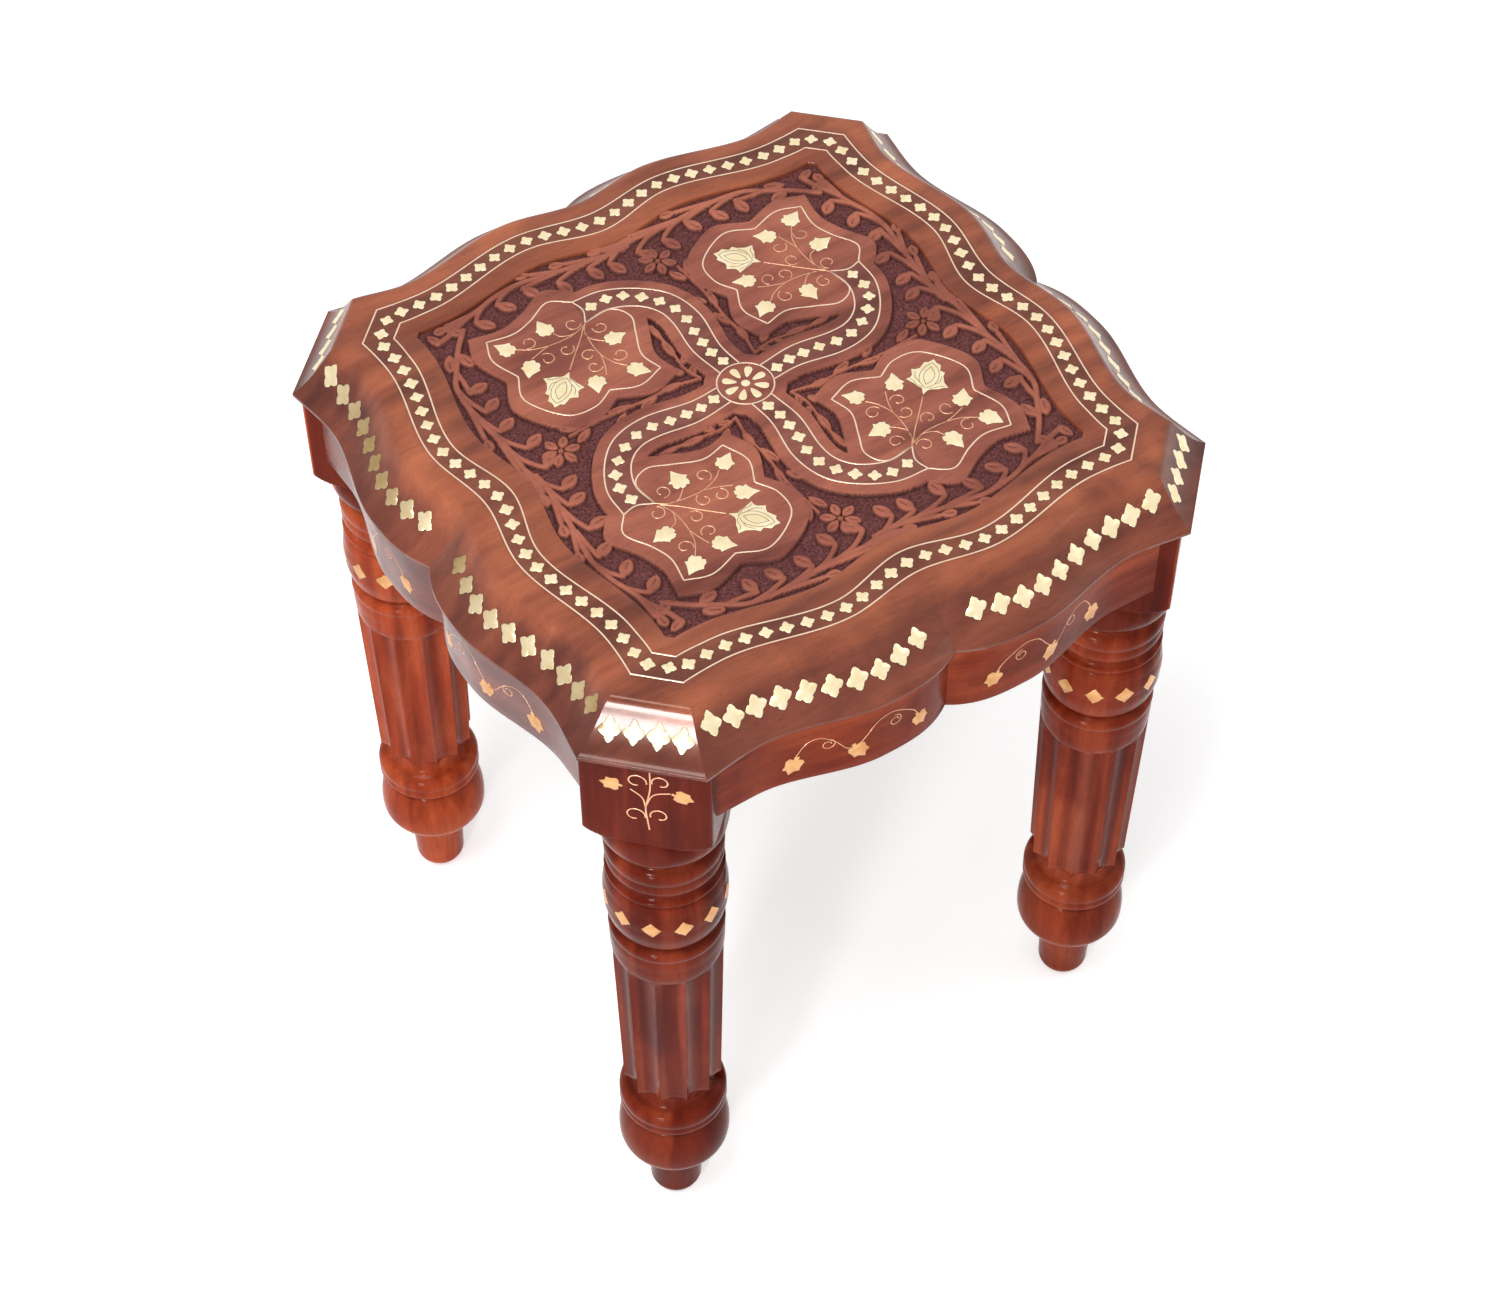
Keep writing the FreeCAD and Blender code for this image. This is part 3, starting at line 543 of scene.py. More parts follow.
@dataclass(frozen=True)
class TopRim:
    """Flat border, bevel, lip and underside of the board, as one closed sheet of rings.

    The arris of the sunk field is given as distances out and down.
    """

    per_half: int = 70
    per_chamfer: int = 22
    band_edge: float = 0.15
    wall_foot: float = 0.3
    arris: Route = ((0.0, 0.7), (0.25, 0.2), (0.8, 0.0))
    lip_ease: Pair = (0.7, 0.8)
    back_margin: float = 8.0

    def rings(self) -> list[Ring]:
        """Rings from the bottom of the sunk field out to the lip and back underneath.

        Returns:
            The rings in order.
        """
        top, edge = BOARD.wood_top, self.band_edge
        found = [Ring.on(FIELD, top - BOARD.field_depth - self.wall_foot)]
        found += [Ring.on(FIELD.moved(out), top - drop) for out, drop in self.arris]
        found += [
            Ring.on(INNER_WIRE.moved(-edge), top),
            Ring.on(INNER_WIRE.moved(edge), top, 1.0),
            Ring.on(OUTER_WIRE.moved(-edge), top, 1.0),
            Ring.on(OUTER_WIRE.moved(edge), top),
        ]
        shares = np.concatenate([np.linspace(-0.4, 0.3, 15), np.linspace(0.36, 0.96, 16)])
        for share in shares:
            # Painted shade, growing down the bevel from the crest to the lip.
            shade = float(smoothstep(share, -0.25, 0.55))
            found.append(Ring(CREST, LIP, float(share), top - float(BOARD.bevel_drop(share)), 0.0, shade))
        # The rounded lip and the edge below it carry full painted shade, a painted shadow line under the
        # bevel.
        for turn in np.linspace(0.0, math.pi / 2, 5):
            inset = BOARD.lip_round * (1 - math.sin(turn))
            drop = BOARD.lip_round * (1 - math.cos(turn))
            found.append(Ring.on(LIP.moved(-inset), BOARD.lip_top - drop, shade=1.0))
        inset, rise = self.lip_ease
        found += [
            Ring.on(LIP, BOARD.under + rise, shade=1.0),
            Ring.on(LIP.moved(-inset), BOARD.under, shade=1.0),
            Ring.on(LIP.moved(-self.back_margin), BOARD.under),
            Ring.on(FIELD, BOARD.under),
        ]
        return found

    def build(self) -> list[Thing]:
        """Make the rim and the plain underside within it.

        Returns:
            The rim, with the stained band between the wires and its painted shade marked, and the underside.
        """
        rings = self.rings()
        sheets = []
        for ring in rings:
            plan = ring_between(ring.inner, ring.outer, ring.share, self.per_half, self.per_chamfer)
            sheets.append(np.column_stack([plan, np.full(len(plan), ring.level)]))
        columns = len(sheets[0])
        faces = sheet_faces(len(rings), columns, False, True)
        rim = new_mesh("top_rim", np.concatenate(sheets), faces, crease=40.0)
        paint(rim, "stain", np.repeat([ring.stain for ring in rings], columns))
        paint(rim, "shade", np.repeat([ring.shade for ring in rings], columns))
        return [rim, self.underside()]

    def underside(self) -> Thing:
        """Make the underside of the board, inside the rim's last ring.

        The rings shrink evenly towards the middle.

        Returns:
            The underside.
        """
        plan = ring_between(FIELD, FIELD, 0.0, self.per_half, self.per_chamfer)
        shares = np.linspace(1.0, 0.0, 12)[:, None, None]
        spread = plan[None, :, :] * shares
        level = np.full(spread.shape[:2] + (1,), BOARD.under)
        points = np.concatenate([spread, level], 2).reshape(-1, 3)
        faces = sheet_faces(len(shares), len(plan), False, True)
        return new_mesh("top_underside", points, faces)


# Plan motifs of the front left quarter, in design millimetres

CARTOUCHE_LOBES = (
    ((-80.8, -35.4), (-86.3, -44.5), (-80.5, -56.0), (-77.5, -66.0), (-79.3, -78.0)),
    ((-79.3, -78.0), (-68.0, -81.3), (-54.6, -77.0)),
    ((-54.6, -77.0), (-41.0, -81.6), (-24.5, -71.5), (-22.3, -59.0), (-27.3, -49.0)),
    ((-27.3, -49.0), (-22.8, -37.0), (-27.0, -24.6)),
    ((-27.0, -24.6), (-38.0, -27.0), (-50.0, -22.5), (-60.0, -18.9), (-68.2, -24.0), (-67.1, -37.0)),
    ((-67.1, -37.0), (-74.0, -34.0), (-80.8, -35.4)),
)
CARTOUCHE_MIDDLE = (-51.9, -51.9)
ISLAND_GROWTH = 1.22
ARM_OUTER = (
    (-11.0, 4.3), (-25.0, 3.3), (-45.0, 6.2), (-61.0, 3.0), (-72.0, -6.5), (-79.8, -21.0), (-80.8, -35.4),
)
ARM_INNER = (
    (-11.0, -5.7), (-28.0, -8.1), (-45.7, -6.2), (-56.0, -7.5), (-64.0, -13.8), (-68.7, -25.0),
    (-67.1, -37.0),
)
ARM_RIM = 5.2
HUB_RADIUS = 17.5
ARM_DIAMONDS = (
    (-16.0, -0.7), (-23.0, -2.0), (-30.0, -1.9), (-37.6, -1.4), (-45.5, -0.1), (-53.5, -0.7),
    (-61.0, -4.0), (-67.3, -9.0), (-72.3, -15.2), (-74.6, -22.3), (-74.0, -30.0),
)


@dataclass(frozen=True)
class CarvedLeaf:
    """One raised leaf of the carved field, and how it is cut.

    The blunt power moves the widest place from the middle towards the tip. The cut is in
    shares of the length, the half width and the height.
    """

    x: float
    y: float
    angle: float
    length: float
    width: float
    blunt: float = 1.0
    swell_power: float = 0.55
    body_power: float = 0.24
    crown: float = 0.98
    tip_fall: float = 0.20
    groove: float = 0.34
    groove_width: float = 0.18
    groove_start: Pair = (0.25, 0.45)
    groove_end: Pair = (0.75, 0.90)
    least: float = 0.15

    def turned(self, quarter: int) -> "CarvedLeaf":
        """The same leaf in another quarter of the field.

        Args:
            quarter: Number of quarter turns to the left.

        Returns:
            The turned leaf.
        """
        x, y = quarter_turned(np.array([self.x, self.y]), quarter)
        return replace(self, x=float(x), y=float(y), angle=self.angle + 90.0 * quarter)

    def height(self, x: Array, y: Array) -> Array:
        """Relief of the leaf over the ground.

        With u the share of the length and v the share of the half width, the outline is
        |v| = sin(pi u^blunt)^swell_power. The height is the body_power of one less the
        squared share of that outline, less a groove down the middle, and it falls to the tip.

        Args:
            x: Plan x of the samples.
            y: Plan y of the samples.

        Returns:
            Height between 0 and 1.
        """
        c, s = math.cos(math.radians(self.angle)), math.sin(math.radians(self.angle))
        u = ((x - self.x) * c + (y - self.y) * s) / self.length
        v = (-(x - self.x) * s + (y - self.y) * c) / self.width
        run = np.clip(u, 0.0, 1.0)
        swell = np.clip(np.sin(math.pi * run**self.blunt), 0.0, 1.0) ** self.swell_power
        inside = np.clip(1 - (v / (swell + 1e-6)) ** 2, 0.0, 1.0)
        groove = self.groove * np.exp(-((v / self.groove_width) ** 2))
        groove = groove * smoothstep(u, *self.groove_start) * (1 - smoothstep(u, *self.groove_end))
        body = inside**self.body_power * (self.crown - self.tip_fall * run**2) - groove
        return np.where((u > 0) & (u < 1) & (inside > 0), np.maximum(body, self.least), 0.0)


@dataclass(frozen=True)
class Hook:
    """Side branch of a stem, from its root to the foot of its leaf, and the leaf's angle."""

    x: float
    y: float
    end_x: float
    end_y: float
    angle: float
    lead: float = 2.6

    def stem(self, bend: Array) -> Array:
        """Curve of the branch, led a little way into its leaf.

        Args:
            bend: Shares of the way in x and y that it passes through, one row each.

        Returns:
            Points along the branch.
        """
        run = bend * (self.end_x - self.x, self.end_y - self.y) + (self.x, self.y)
        angle = math.radians(self.angle)
        tip = run[-1] + self.lead * np.array([math.cos(angle), math.sin(angle)])
        return curve_through([(self.x, self.y), *run, tip], 4)

    def leaf(self) -> CarvedLeaf:
        """Leaf at the end of the branch.

        Returns:
            The leaf.
        """
        return CarvedLeaf(self.end_x, self.end_y, self.angle, 9.0, 3.1)


@dataclass(frozen=True)
class Motif:
    """Carved vines of one quarter of the field, in design millimetres.

    The other quarters are the same, turned. The front right half of the front border is
    therefore given here on the left border, where a quarter turn brings it from. A bud is
    the root and the end of its shoot, and a loose leaf its place, angle, length and width.
    """

    front_stem: Route = (
        (-92.0, -82.0), (-83.0, -89.5), (-72.0, -96.5), (-64.0, -101.0), (-52.0, -102.6), (-38.0, -102.0),
        (-26.0, -100.8), (-12.0, -101.0), (4.0, -101.0),
    )
    side_stem: Route = (
        (-98.5, 1.0), (-99.2, -13.0), (-100.6, -25.0), (-102.2, -37.0), (-103.8, -49.0), (-102.4, -61.0),
        (-99.4, -70.0), (-97.2, -78.0), (-93.0, -87.0), (-90.6, -95.0),
    )
    front_hooks: tuple[Hook, ...] = (
        Hook(-71.0, -96.6, -58.0, -98.0, 98.0), Hook(-62.0, -101.4, -45.2, -97.6, 118.0),
        Hook(-50.0, -102.4, -32.4, -98.4, 114.0), Hook(-35.0, -101.6, -18.4, -93.6, 114.0),
        Hook(-21.0, -100.6, -5.0, -93.0, 130.0), Hook(-7.0, -100.6, 9.0, -93.4, 112.0),
    )
    side_hooks: tuple[Hook, ...] = (
        Hook(-98.6, -2.0, -95.6, -18.2, 16.0), Hook(-99.2, -18.0, -95.4, -33.6, 14.0),
        Hook(-100.8, -32.0, -100.4, -48.2, 28.0), Hook(-103.8, -49.0, -97.6, -62.2, 42.0),
        Hook(-102.4, -61.0, -93.0, -75.0, 40.0), Hook(-98.4, -74.0, -98.0, -87.0, 20.0),
    )
    hook_bend: Route = ((0.45, 0.22), (0.80, 0.62), (1.0, 1.0))
    buds: tuple[tuple[float, float, float, float], ...] = (
        (-51.0, -102.6, -32.0, -105.8), (-30.0, -101.4, -8.5, -103.4), (-9.0, -101.0, 6.0, -102.8),
        (-98.6, 3.0, -101.6, -7.0), (-99.6, -12.0, -103.6, -25.0), (-101.4, -30.0, -105.8, -41.0),
        (-97.4, -78.0, -97.0, -86.0),
    )
    loose_leaves: tuple[tuple[float, float, float, float, float], ...] = (
        (-80.0, -90.5, 10.0, 9.0, 2.9), (-81.5, -94.5, 334.0, 9.5, 2.9), (-89.6, -94.0, 200.0, 7.5, 2.4),
        (-30.0, -15.5, 178.0, 11.0, 2.1), (-24.5, -15.0, 140.0, 6.5, 1.9), (-42.0, -14.6, 183.0, 10.0, 1.7),
        (-19.5, -17.5, 222.0, 7.5, 2.2), (-16.0, -15.0, 160.0, 6.0, 2.0), (-15.5, -22.0, 268.0, 9.5, 2.1),
        (-17.5, -29.0, 225.0, 6.0, 1.9), (-14.6, -34.0, 286.0, 10.0, 2.1), (-15.6, -46.0, 262.0, 10.5, 2.0),
        (-13.0, -50.0, 300.0, 8.0, 1.9), (-16.4, -58.0, 254.0, 9.0, 2.0), (-16.0, -69.0, 248.0, 9.5, 2.2),
        (-13.5, -67.0, 296.0, 9.0, 2.2),
    )
    flower: Place = (-9.0, -83.5)
    small_stems: tuple[Route, ...] = (
        ((-13.5, -13.5), (-22.0, -16.0), (-34.0, -15.0), (-50.0, -14.4)),
        ((-13.5, -13.5), (-15.5, -26.0), (-15.0, -40.0), (-15.8, -55.0), (-14.5, -76.0)),
    )

    def stems(self) -> list[tuple[Array, float]]:
        """Stems of the quarter.

        A hook of the side border bends as one of the front border does, with x and y swapped.

        Returns:
            Curve and half width of each stem.
        """
        found = [(curve_through(path, 6), 1.5) for path in (self.front_stem, self.side_stem)]
        found += [(curve_through(path, 5), 0.8) for path in self.small_stems]
        bend = np.array(self.hook_bend)
        found += [(hook.stem(bend), 1.3) for hook in self.front_hooks]
        found += [(hook.stem(bend[:, ::-1]), 1.3) for hook in self.side_hooks]
        return found + [(np.array([bud[:2], bud[2:]]), 1.35) for bud in self.buds]

    def leaves(self) -> list[CarvedLeaf]:
        """Leaves of the hooks, the buds, the pockets and the small flower.

        Returns:
            The leaves.
        """
        found = [hook.leaf() for hook in self.front_hooks + self.side_hooks]
        for x, y, end_x, end_y in self.buds:
            angle = math.degrees(math.atan2(end_y - y, end_x - x))
            found.append(CarvedLeaf(end_x, end_y, angle, 7.6, 2.7, 1.5))
        found += [CarvedLeaf(*leaf) for leaf in self.loose_leaves]
        x, y = self.flower
        for angle in np.arange(6) * 60.0 + 20.0:
            out = 1.6 * np.array([math.cos(math.radians(angle)), math.sin(math.radians(angle))])
            found.append(CarvedLeaf(x + out[0], y + out[1], float(angle), 6.8, 2.3, 1.1))
        return [*found, CarvedLeaf(x - 1.3, y, 0.0, 2.6, 1.3)]


@dataclass(frozen=True)
class CarvedField:
    """Sunk field of the board: a stippled ground, four islands and trailing vines."""

    cell: float = 0.37
    reach: float = 109.9
    wall: float = 0.6
    vine_share: float = 0.90
    stem_height: float = 0.9
    stem_power: float = 0.3
    roughness: float = 0.12
    bare: float = 0.05
    hollow: float = 0.9

    def islands(self, x: Array, y: Array) -> tuple[Array, Array]:
        """Signed depth inside the islands, and the stain between an arm's wires.

        Args:
            x: Plan x of the samples.
            y: Plan y of the samples.

        Returns:
            Distance inside the nearest island, and 1 where the wood is stained.
        """
        lobes = np.concatenate([curve_through(lobe, 8)[:-1] for lobe in CARTOUCHE_LOBES])
        middle = np.array(CARTOUCHE_MIDDLE)
        land = middle + (lobes - middle) * ISLAND_GROWTH
        outer, inner = curve_through(ARM_OUTER, 8), curve_through(ARM_INNER, 8)
        rims = (outer - left_normals(outer) * ARM_RIM, inner + left_normals(inner) * ARM_RIM)
        arm = np.concatenate([rims[0], rims[1][::-1]])
        between = np.concatenate([outer, inner[::-1]])
        depth = HUB_RADIUS - np.hypot(x, y)
        stain = np.zeros(x.shape)
        for quarter in QUARTERS:
            depth = np.maximum(depth, polygon_depth(x, y, quarter_turned(arm, quarter)))
            depth = np.maximum(depth, polygon_depth(x, y, quarter_turned(land, quarter)))
            stain = np.maximum(stain, polygon_depth(x, y, quarter_turned(between, quarter)) > 0)
        return depth, stain

    def vines(self, x: Array, y: Array) -> Array:
        """Height of the carved vines over the ground.

        Args:
            x: Plan x of the samples.
            y: Plan y of the samples.

        Returns:
            Height between 0 and 1.
        """
        motif = Motif()
        relief = np.zeros(x.shape)
        for quarter in QUARTERS:
            for leaf in motif.leaves():
                here = leaf.turned(quarter)
                close = np.hypot(x - here.x, y - here.y) < here.length * 1.1
                relief[close] = np.maximum(relief[close], here.height(x[close], y[close]))
            for path, half in motif.stems():
                turned = quarter_turned(path, quarter)
                middle = turned.mean(axis=0)
                span = np.hypot(*(turned - middle).T).max() + 3
                close = np.hypot(x - middle[0], y - middle[1]) < span
                away = path_distance(x[close], y[close], turned) / half
                round_back = self.stem_height * np.clip(1 - away * away, 0.0, 1.0) ** self.stem_power
                relief[close] = np.maximum(relief[close], round_back)
        return relief

    def cavity_shade(self, level: Array) -> Array:
        """How deep each place lies under the mean of its neighbours, for painted shade and dirt in corners.

        Args:
            level: Heights of the grid.

        Returns:
            0 in the open to 1 in a tight hollow.
        """
        mean = level.copy()
        for _ in range(2):
            padded = np.pad(mean, 2, mode="edge")
            sides = padded[:-4, 2:-2] + padded[4:, 2:-2] + padded[2:-2, :-4] + padded[2:-2, 4:]
            mean = (mean + sides) / 5
        return np.clip((mean - level) / self.hollow, 0.0, 1.0)

    def build(self) -> list[Thing]:
        """Make the four quarters of the field.

        The height is the ground, raised by the islands and by the highest leaf or stem.
        Bare ground also ripples by the roughness.

        Returns:
            One piece for each quarter.
        """
        count = int(self.reach / self.cell)
        line = -np.arange(count + 1)[::-1] * self.cell
        x, y = np.meshgrid(line, line)
        depth, stain = self.islands(x, y)
        land = smoothstep(depth, -self.wall / 2, self.wall / 2)
        relief = self.vines(x, y) * (depth < 0.2)
        raised = np.maximum(land, relief * self.vine_share)
        ripple = np.sin(x * 1.9 + np.sin(y * 1.3) * 2) * np.sin(y * 2.1 + np.sin(x * 1.1) * 2)
        level = BOARD.wood_top - BOARD.field_depth * (1 - raised)
        level = level + self.roughness * ripple * (raised < self.bare)
        points = np.stack([x, y, level], -1).reshape(-1, 3)
        faces = sheet_faces(len(line), len(line), False, False)
        # Painted shade at the foot of each wall round the raised parts.
        wall_foot = smoothstep(raised, 0.0, 0.2) * (1 - smoothstep(raised, 0.40, 0.65))
        marks = {
            "ground": 1 - smoothstep(raised, self.bare, 0.35),
            "stain": stain,
            "carving": smoothstep(relief, 0.05, 0.4) * (1 - land),
            "cavity_shade": np.maximum(self.cavity_shade(level), wall_foot),
        }
        quarters = []
        for quarter in QUARTERS:
            turned = quarter_turned(points, quarter)
            piece = new_mesh("carved_field_" + CORNER_NAMES[quarter], turned, faces, crease=80.0)
            for name, values in marks.items():
                paint(piece, name, values)
            quarters.append(piece)
        return quarters


# Legs


@dataclass(frozen=True)
class Leg:
    """Turned leg with a square block, in design millimetres from the floor and its axis.

    A silhouette is radius, level, outward bow as a share of the run, and samples of each
    run. The block's own is the limit to which its dome and lower corners are turned. The
    tones are how dark each leg is painted, part stain and part painted shade for how the
    light falls on its corner, from the front left corner on.
    """

    axis: float = 113.2
    block: float = 53.0
    steps: int = 144
    flute_count: int = 12
    flute_depth: float = 2.9
    column_foot: Place = (22.4, 97.5)
    column_ease: Pair = (0.7, 0.2)
    column_top: Place = (24.5, 204.0)
    shoulder: Place = (24.5, 203.5)
    shoulder_foot: Place = (20.0, 191.5)
    band_radius: float = 25.8
    band_level: float = 236.6
    corner_power: float = 44.0
    stain_and_shade_tones: tuple[float, ...] = (0.95, 0.55, 0.60, -0.15)
    hollow_shade: float = 0.5
    shade_limits: Pair = (-0.5, 1.2)
    side_face: float = 0.72
    side_shade: float = 1.0
    lower_profile: tuple[Turning, ...] = (
        (0.0, 0.0, 0.0, 1), (7.6, 0.0, 0.0, 3), (8.7, 0.8, 0.2, 3), (11.9, 8.0, 0.14, 8),
        (12.8, 28.0, 0.0, 8), (13.6, 29.8, -0.15, 4), (22.8, 42.0, 0.02, 12), (25.3, 49.0, 0.087, 10),
        (21.5, 69.6, 0.06, 20), (20.6, 70.4, 0.0, 1), (21.4, 71.4, 0.0, 1), (23.9, 78.5, 0.20, 10),
        (19.8, 87.4, 0.22, 10), (17.6, 91.0, -0.14, 6), (17.4, 95.0, 0.0, 3), (18.0, 97.5, -0.1, 3),
    )
    upper_profile: tuple[Turning, ...] = (
        (24.5, 203.5, 0.0, 1), (24.3, 210.5, 0.03, 8), (22.3, 216.6, 0.22, 12),
        (21.4, 217.3, 0.0, 1), (22.3, 218.2, 0.0, 1), (25.2, 224.5, 0.08, 10), (26.1, 233.0, 0.04, 10),
        (25.6, 243.0, 0.04, 10), (23.8, 250.0, 0.06, 8), (23.6, 250.8, 0.0, 1), (24.7, 251.2, 0.0, 1),
        (25.0, 252.2, 0.2, 3), (24.7, 253.4, 0.2, 3), (22.9, 256.0, -0.12, 5), (24.3, 264.5, 0.13, 12),
        (21.9, 273.6, 0.19, 12), (21.4, 274.8, 0.0, 1), (0.0, 274.9, 0.0, 1),
    )
    block_profile: tuple[Turning, ...] = (
        (0.0, 274.7, 0.0, 1), (22.0, 274.8, 0.0, 1), (22.9, 275.8, 0.0, 1), (26.0, 294.6, 0.17, 18),
        (26.4, 295.6, 0.0, 1), (38.2, 303.4, 0.16, 16), (38.5, 304.5, 0.0, 1),
        (38.5, BOARD.under, 0.0, 20), (0.0, BOARD.under, 0.0, 1),
    )

    def samples(self, profile: Sequence[Turning]) -> Array:
        """Points along a silhouette.

        A run is its chord moved out by 4 u (1 - u) times the bow and the chord's length.

        Args:
            profile: Radius, level, bow and samples of each run.

        Returns:
            Radius and level pairs.
        """
        rows = [np.array([profile[0][:2]])]
        for (r0, z0, _, _), (r1, z1, bow, count) in zip(profile, profile[1:]):
            u = np.linspace(0.0, 1.0, count + 1)[1:, None]
            chord = np.array([r1 - r0, z1 - z0])
            side = np.array([chord[1], -chord[0]])
            rows.append(np.array([r0, z0]) + chord * u + side * (4 * u * (1 - u) * bow))
        return np.concatenate(rows)

    def column(self, around: Array) -> tuple[Array, Array]:
        """Fluted column with the rounded shoulder that hangs over its flutes.

        A flute's radius is the ridge radius less the depth times the 0.8th power of the
        sine of its phase. The shoulder covers it wherever the shoulder is wider.

        Args:
            around: Angles round the leg.

        Returns:
            Radius at each level and angle, and the levels.
        """
        (r0, z0), (r1, z1) = self.column_foot, self.column_top
        top = self.shoulder_foot[1]
        lower = np.concatenate([[z0, z0 + 0.25, z0 + 0.8], np.linspace(z0 + 4, top - 5.0, 24)])
        level = np.concatenate([lower, np.linspace(top - 3.5, self.shoulder[1], 36)])
        ridge = r0 + (r1 - r0) * (level - z0) / (z1 - z0)
        ridge[:2] -= self.column_ease
        phase = (around * self.flute_count / (2 * math.pi)) % 1.0
        hollow = np.sin(math.pi * phase) ** 0.8
        flute = ridge[:, None] - self.flute_depth * hollow[None, :]
        drop = np.clip((self.shoulder[1] - level) / (self.shoulder[1] - self.shoulder_foot[1]), 0.0, 1.0)
        cover = self.shoulder_foot[0] + (self.shoulder[0] - self.shoulder_foot[0]) * (1 - drop**3) ** 0.4
        cover = np.where(level < self.shoulder_foot[1], 0.0, cover)
        return np.maximum(flute, cover[:, None]), level

    def place(self, radius: Array, around: Array, level: Array, quarter: int) -> Array:
        """Space points from radii round the leg's axis.

        Args:
            radius: Radius for each row and angle.
            around: Angles, 0 being straight out of the corner.
            level: Level of each row.
            quarter: Which corner, counted to the left from the front left.

        Returns:
            Points, one row each.
        """
        angle = around + CORNER_TURN
        x = radius * np.cos(angle)[None, :] - self.axis
        y = radius * np.sin(angle)[None, :] - self.axis
        z = np.broadcast_to(level[:, None], x.shape)
        return quarter_turned(np.stack([x, y, z], -1).reshape(-1, 3), quarter)

    def build_turned(self, quarter: int) -> Thing:
        """Make everything below the block.

        Args:
            quarter: Which corner, counted to the left from the front left.

        Returns:
            The turned and fluted part of the leg.
        """
        around = np.arange(self.steps) * (2 * math.pi / self.steps) + math.pi / self.flute_count
        low = self.samples(self.lower_profile)
        high = self.samples(self.upper_profile)
        fluted, level = self.column(around)
        ones = np.ones(len(around))
        radius = np.concatenate([low[:, :1] * ones, fluted, high[1:, :1] * ones])
        levels = np.concatenate([low[:, 1], level, high[1:, 1]])
        points = self.place(radius, around, levels, quarter)
        faces = sheet_faces(len(levels), len(around), False, True)
        leg = new_mesh("leg_turned_" + CORNER_NAMES[quarter], points, faces, crease=42.0)
        # Each leg's tone is part stain and part painted shade. Its flutes and grooves get more painted shade.
        shade = self.stain_and_shade_tones[quarter] + self.hollow_shade * self.hollows(radius)
        paint(leg, "shade", np.clip(shade, *self.shade_limits))
        return welded(leg)

    def hollows(self, radius: Array) -> Array:
        """How far each place lies inside the mean of its neighbours, for painted shade in hollows.

        The mean is taken again and again over the rows beside and the angles beside.

        Args:
            radius: Radius for each row and angle.

        Returns:
            Positive in grooves and flutes, a little negative on ridges and beads.
        """
        mean = radius.copy()
        for _ in range(6):
            padded = np.pad(mean, ((1, 1), (0, 0)), mode="edge")
            beside = np.roll(mean, 2, axis=1) + np.roll(mean, -2, axis=1)
            mean = (mean * 2 + padded[:-2] + padded[2:] + beside * 1.5) / 7
        return np.clip((mean - radius) / 0.9, -0.1, 1.0)

    def square_radius(self, around: Array) -> Array:
        """Radius of the square stock with slightly rounded arrises.

        The radius is half the width over the high-power mean of |cos| and |sin|.

        Args:
            around: Angles, 0 being straight out of the corner.

        Returns:
            Radius at each angle.
        """
        power = self.corner_power
        spread = np.abs(np.cos(around)) ** power + np.abs(np.sin(around)) ** power
        return self.block / 2 * spread ** (-1 / power)

    def build_block(self, quarter: int) -> Thing:
        """Make the dome and the square block.

        The faces that look along the sides of the table get more painted shade than the outer one.

        Args:
            quarter: Which corner, counted to the left from the front left.

        Returns:
            The block.
        """
        eighth = crowded(30, 0.9) * math.pi / 2 - math.pi / 4
        around = np.concatenate([eighth[:-1] + k * math.pi / 2 for k in range(4)])
        limit = self.samples(self.block_profile)
        square = self.square_radius(around)
        radius = np.minimum(limit[:, :1], square[None, :])
        points = self.place(radius, around, limit[:, 1], quarter)
        faces = sheet_faces(len(limit), len(around), False, True)
        block = new_mesh("leg_block_" + CORNER_NAMES[quarter], points, faces, crease=35.0)
        # Painted shade on the side faces of the block.
        beside = np.abs(np.sin(around)) > self.side_face
        paint(block, "shade", np.tile(np.where(beside, self.side_shade, self.stain_and_shade_tones[quarter]), len(limit)))
        return welded(block)


LEG = Leg()

# Aprons


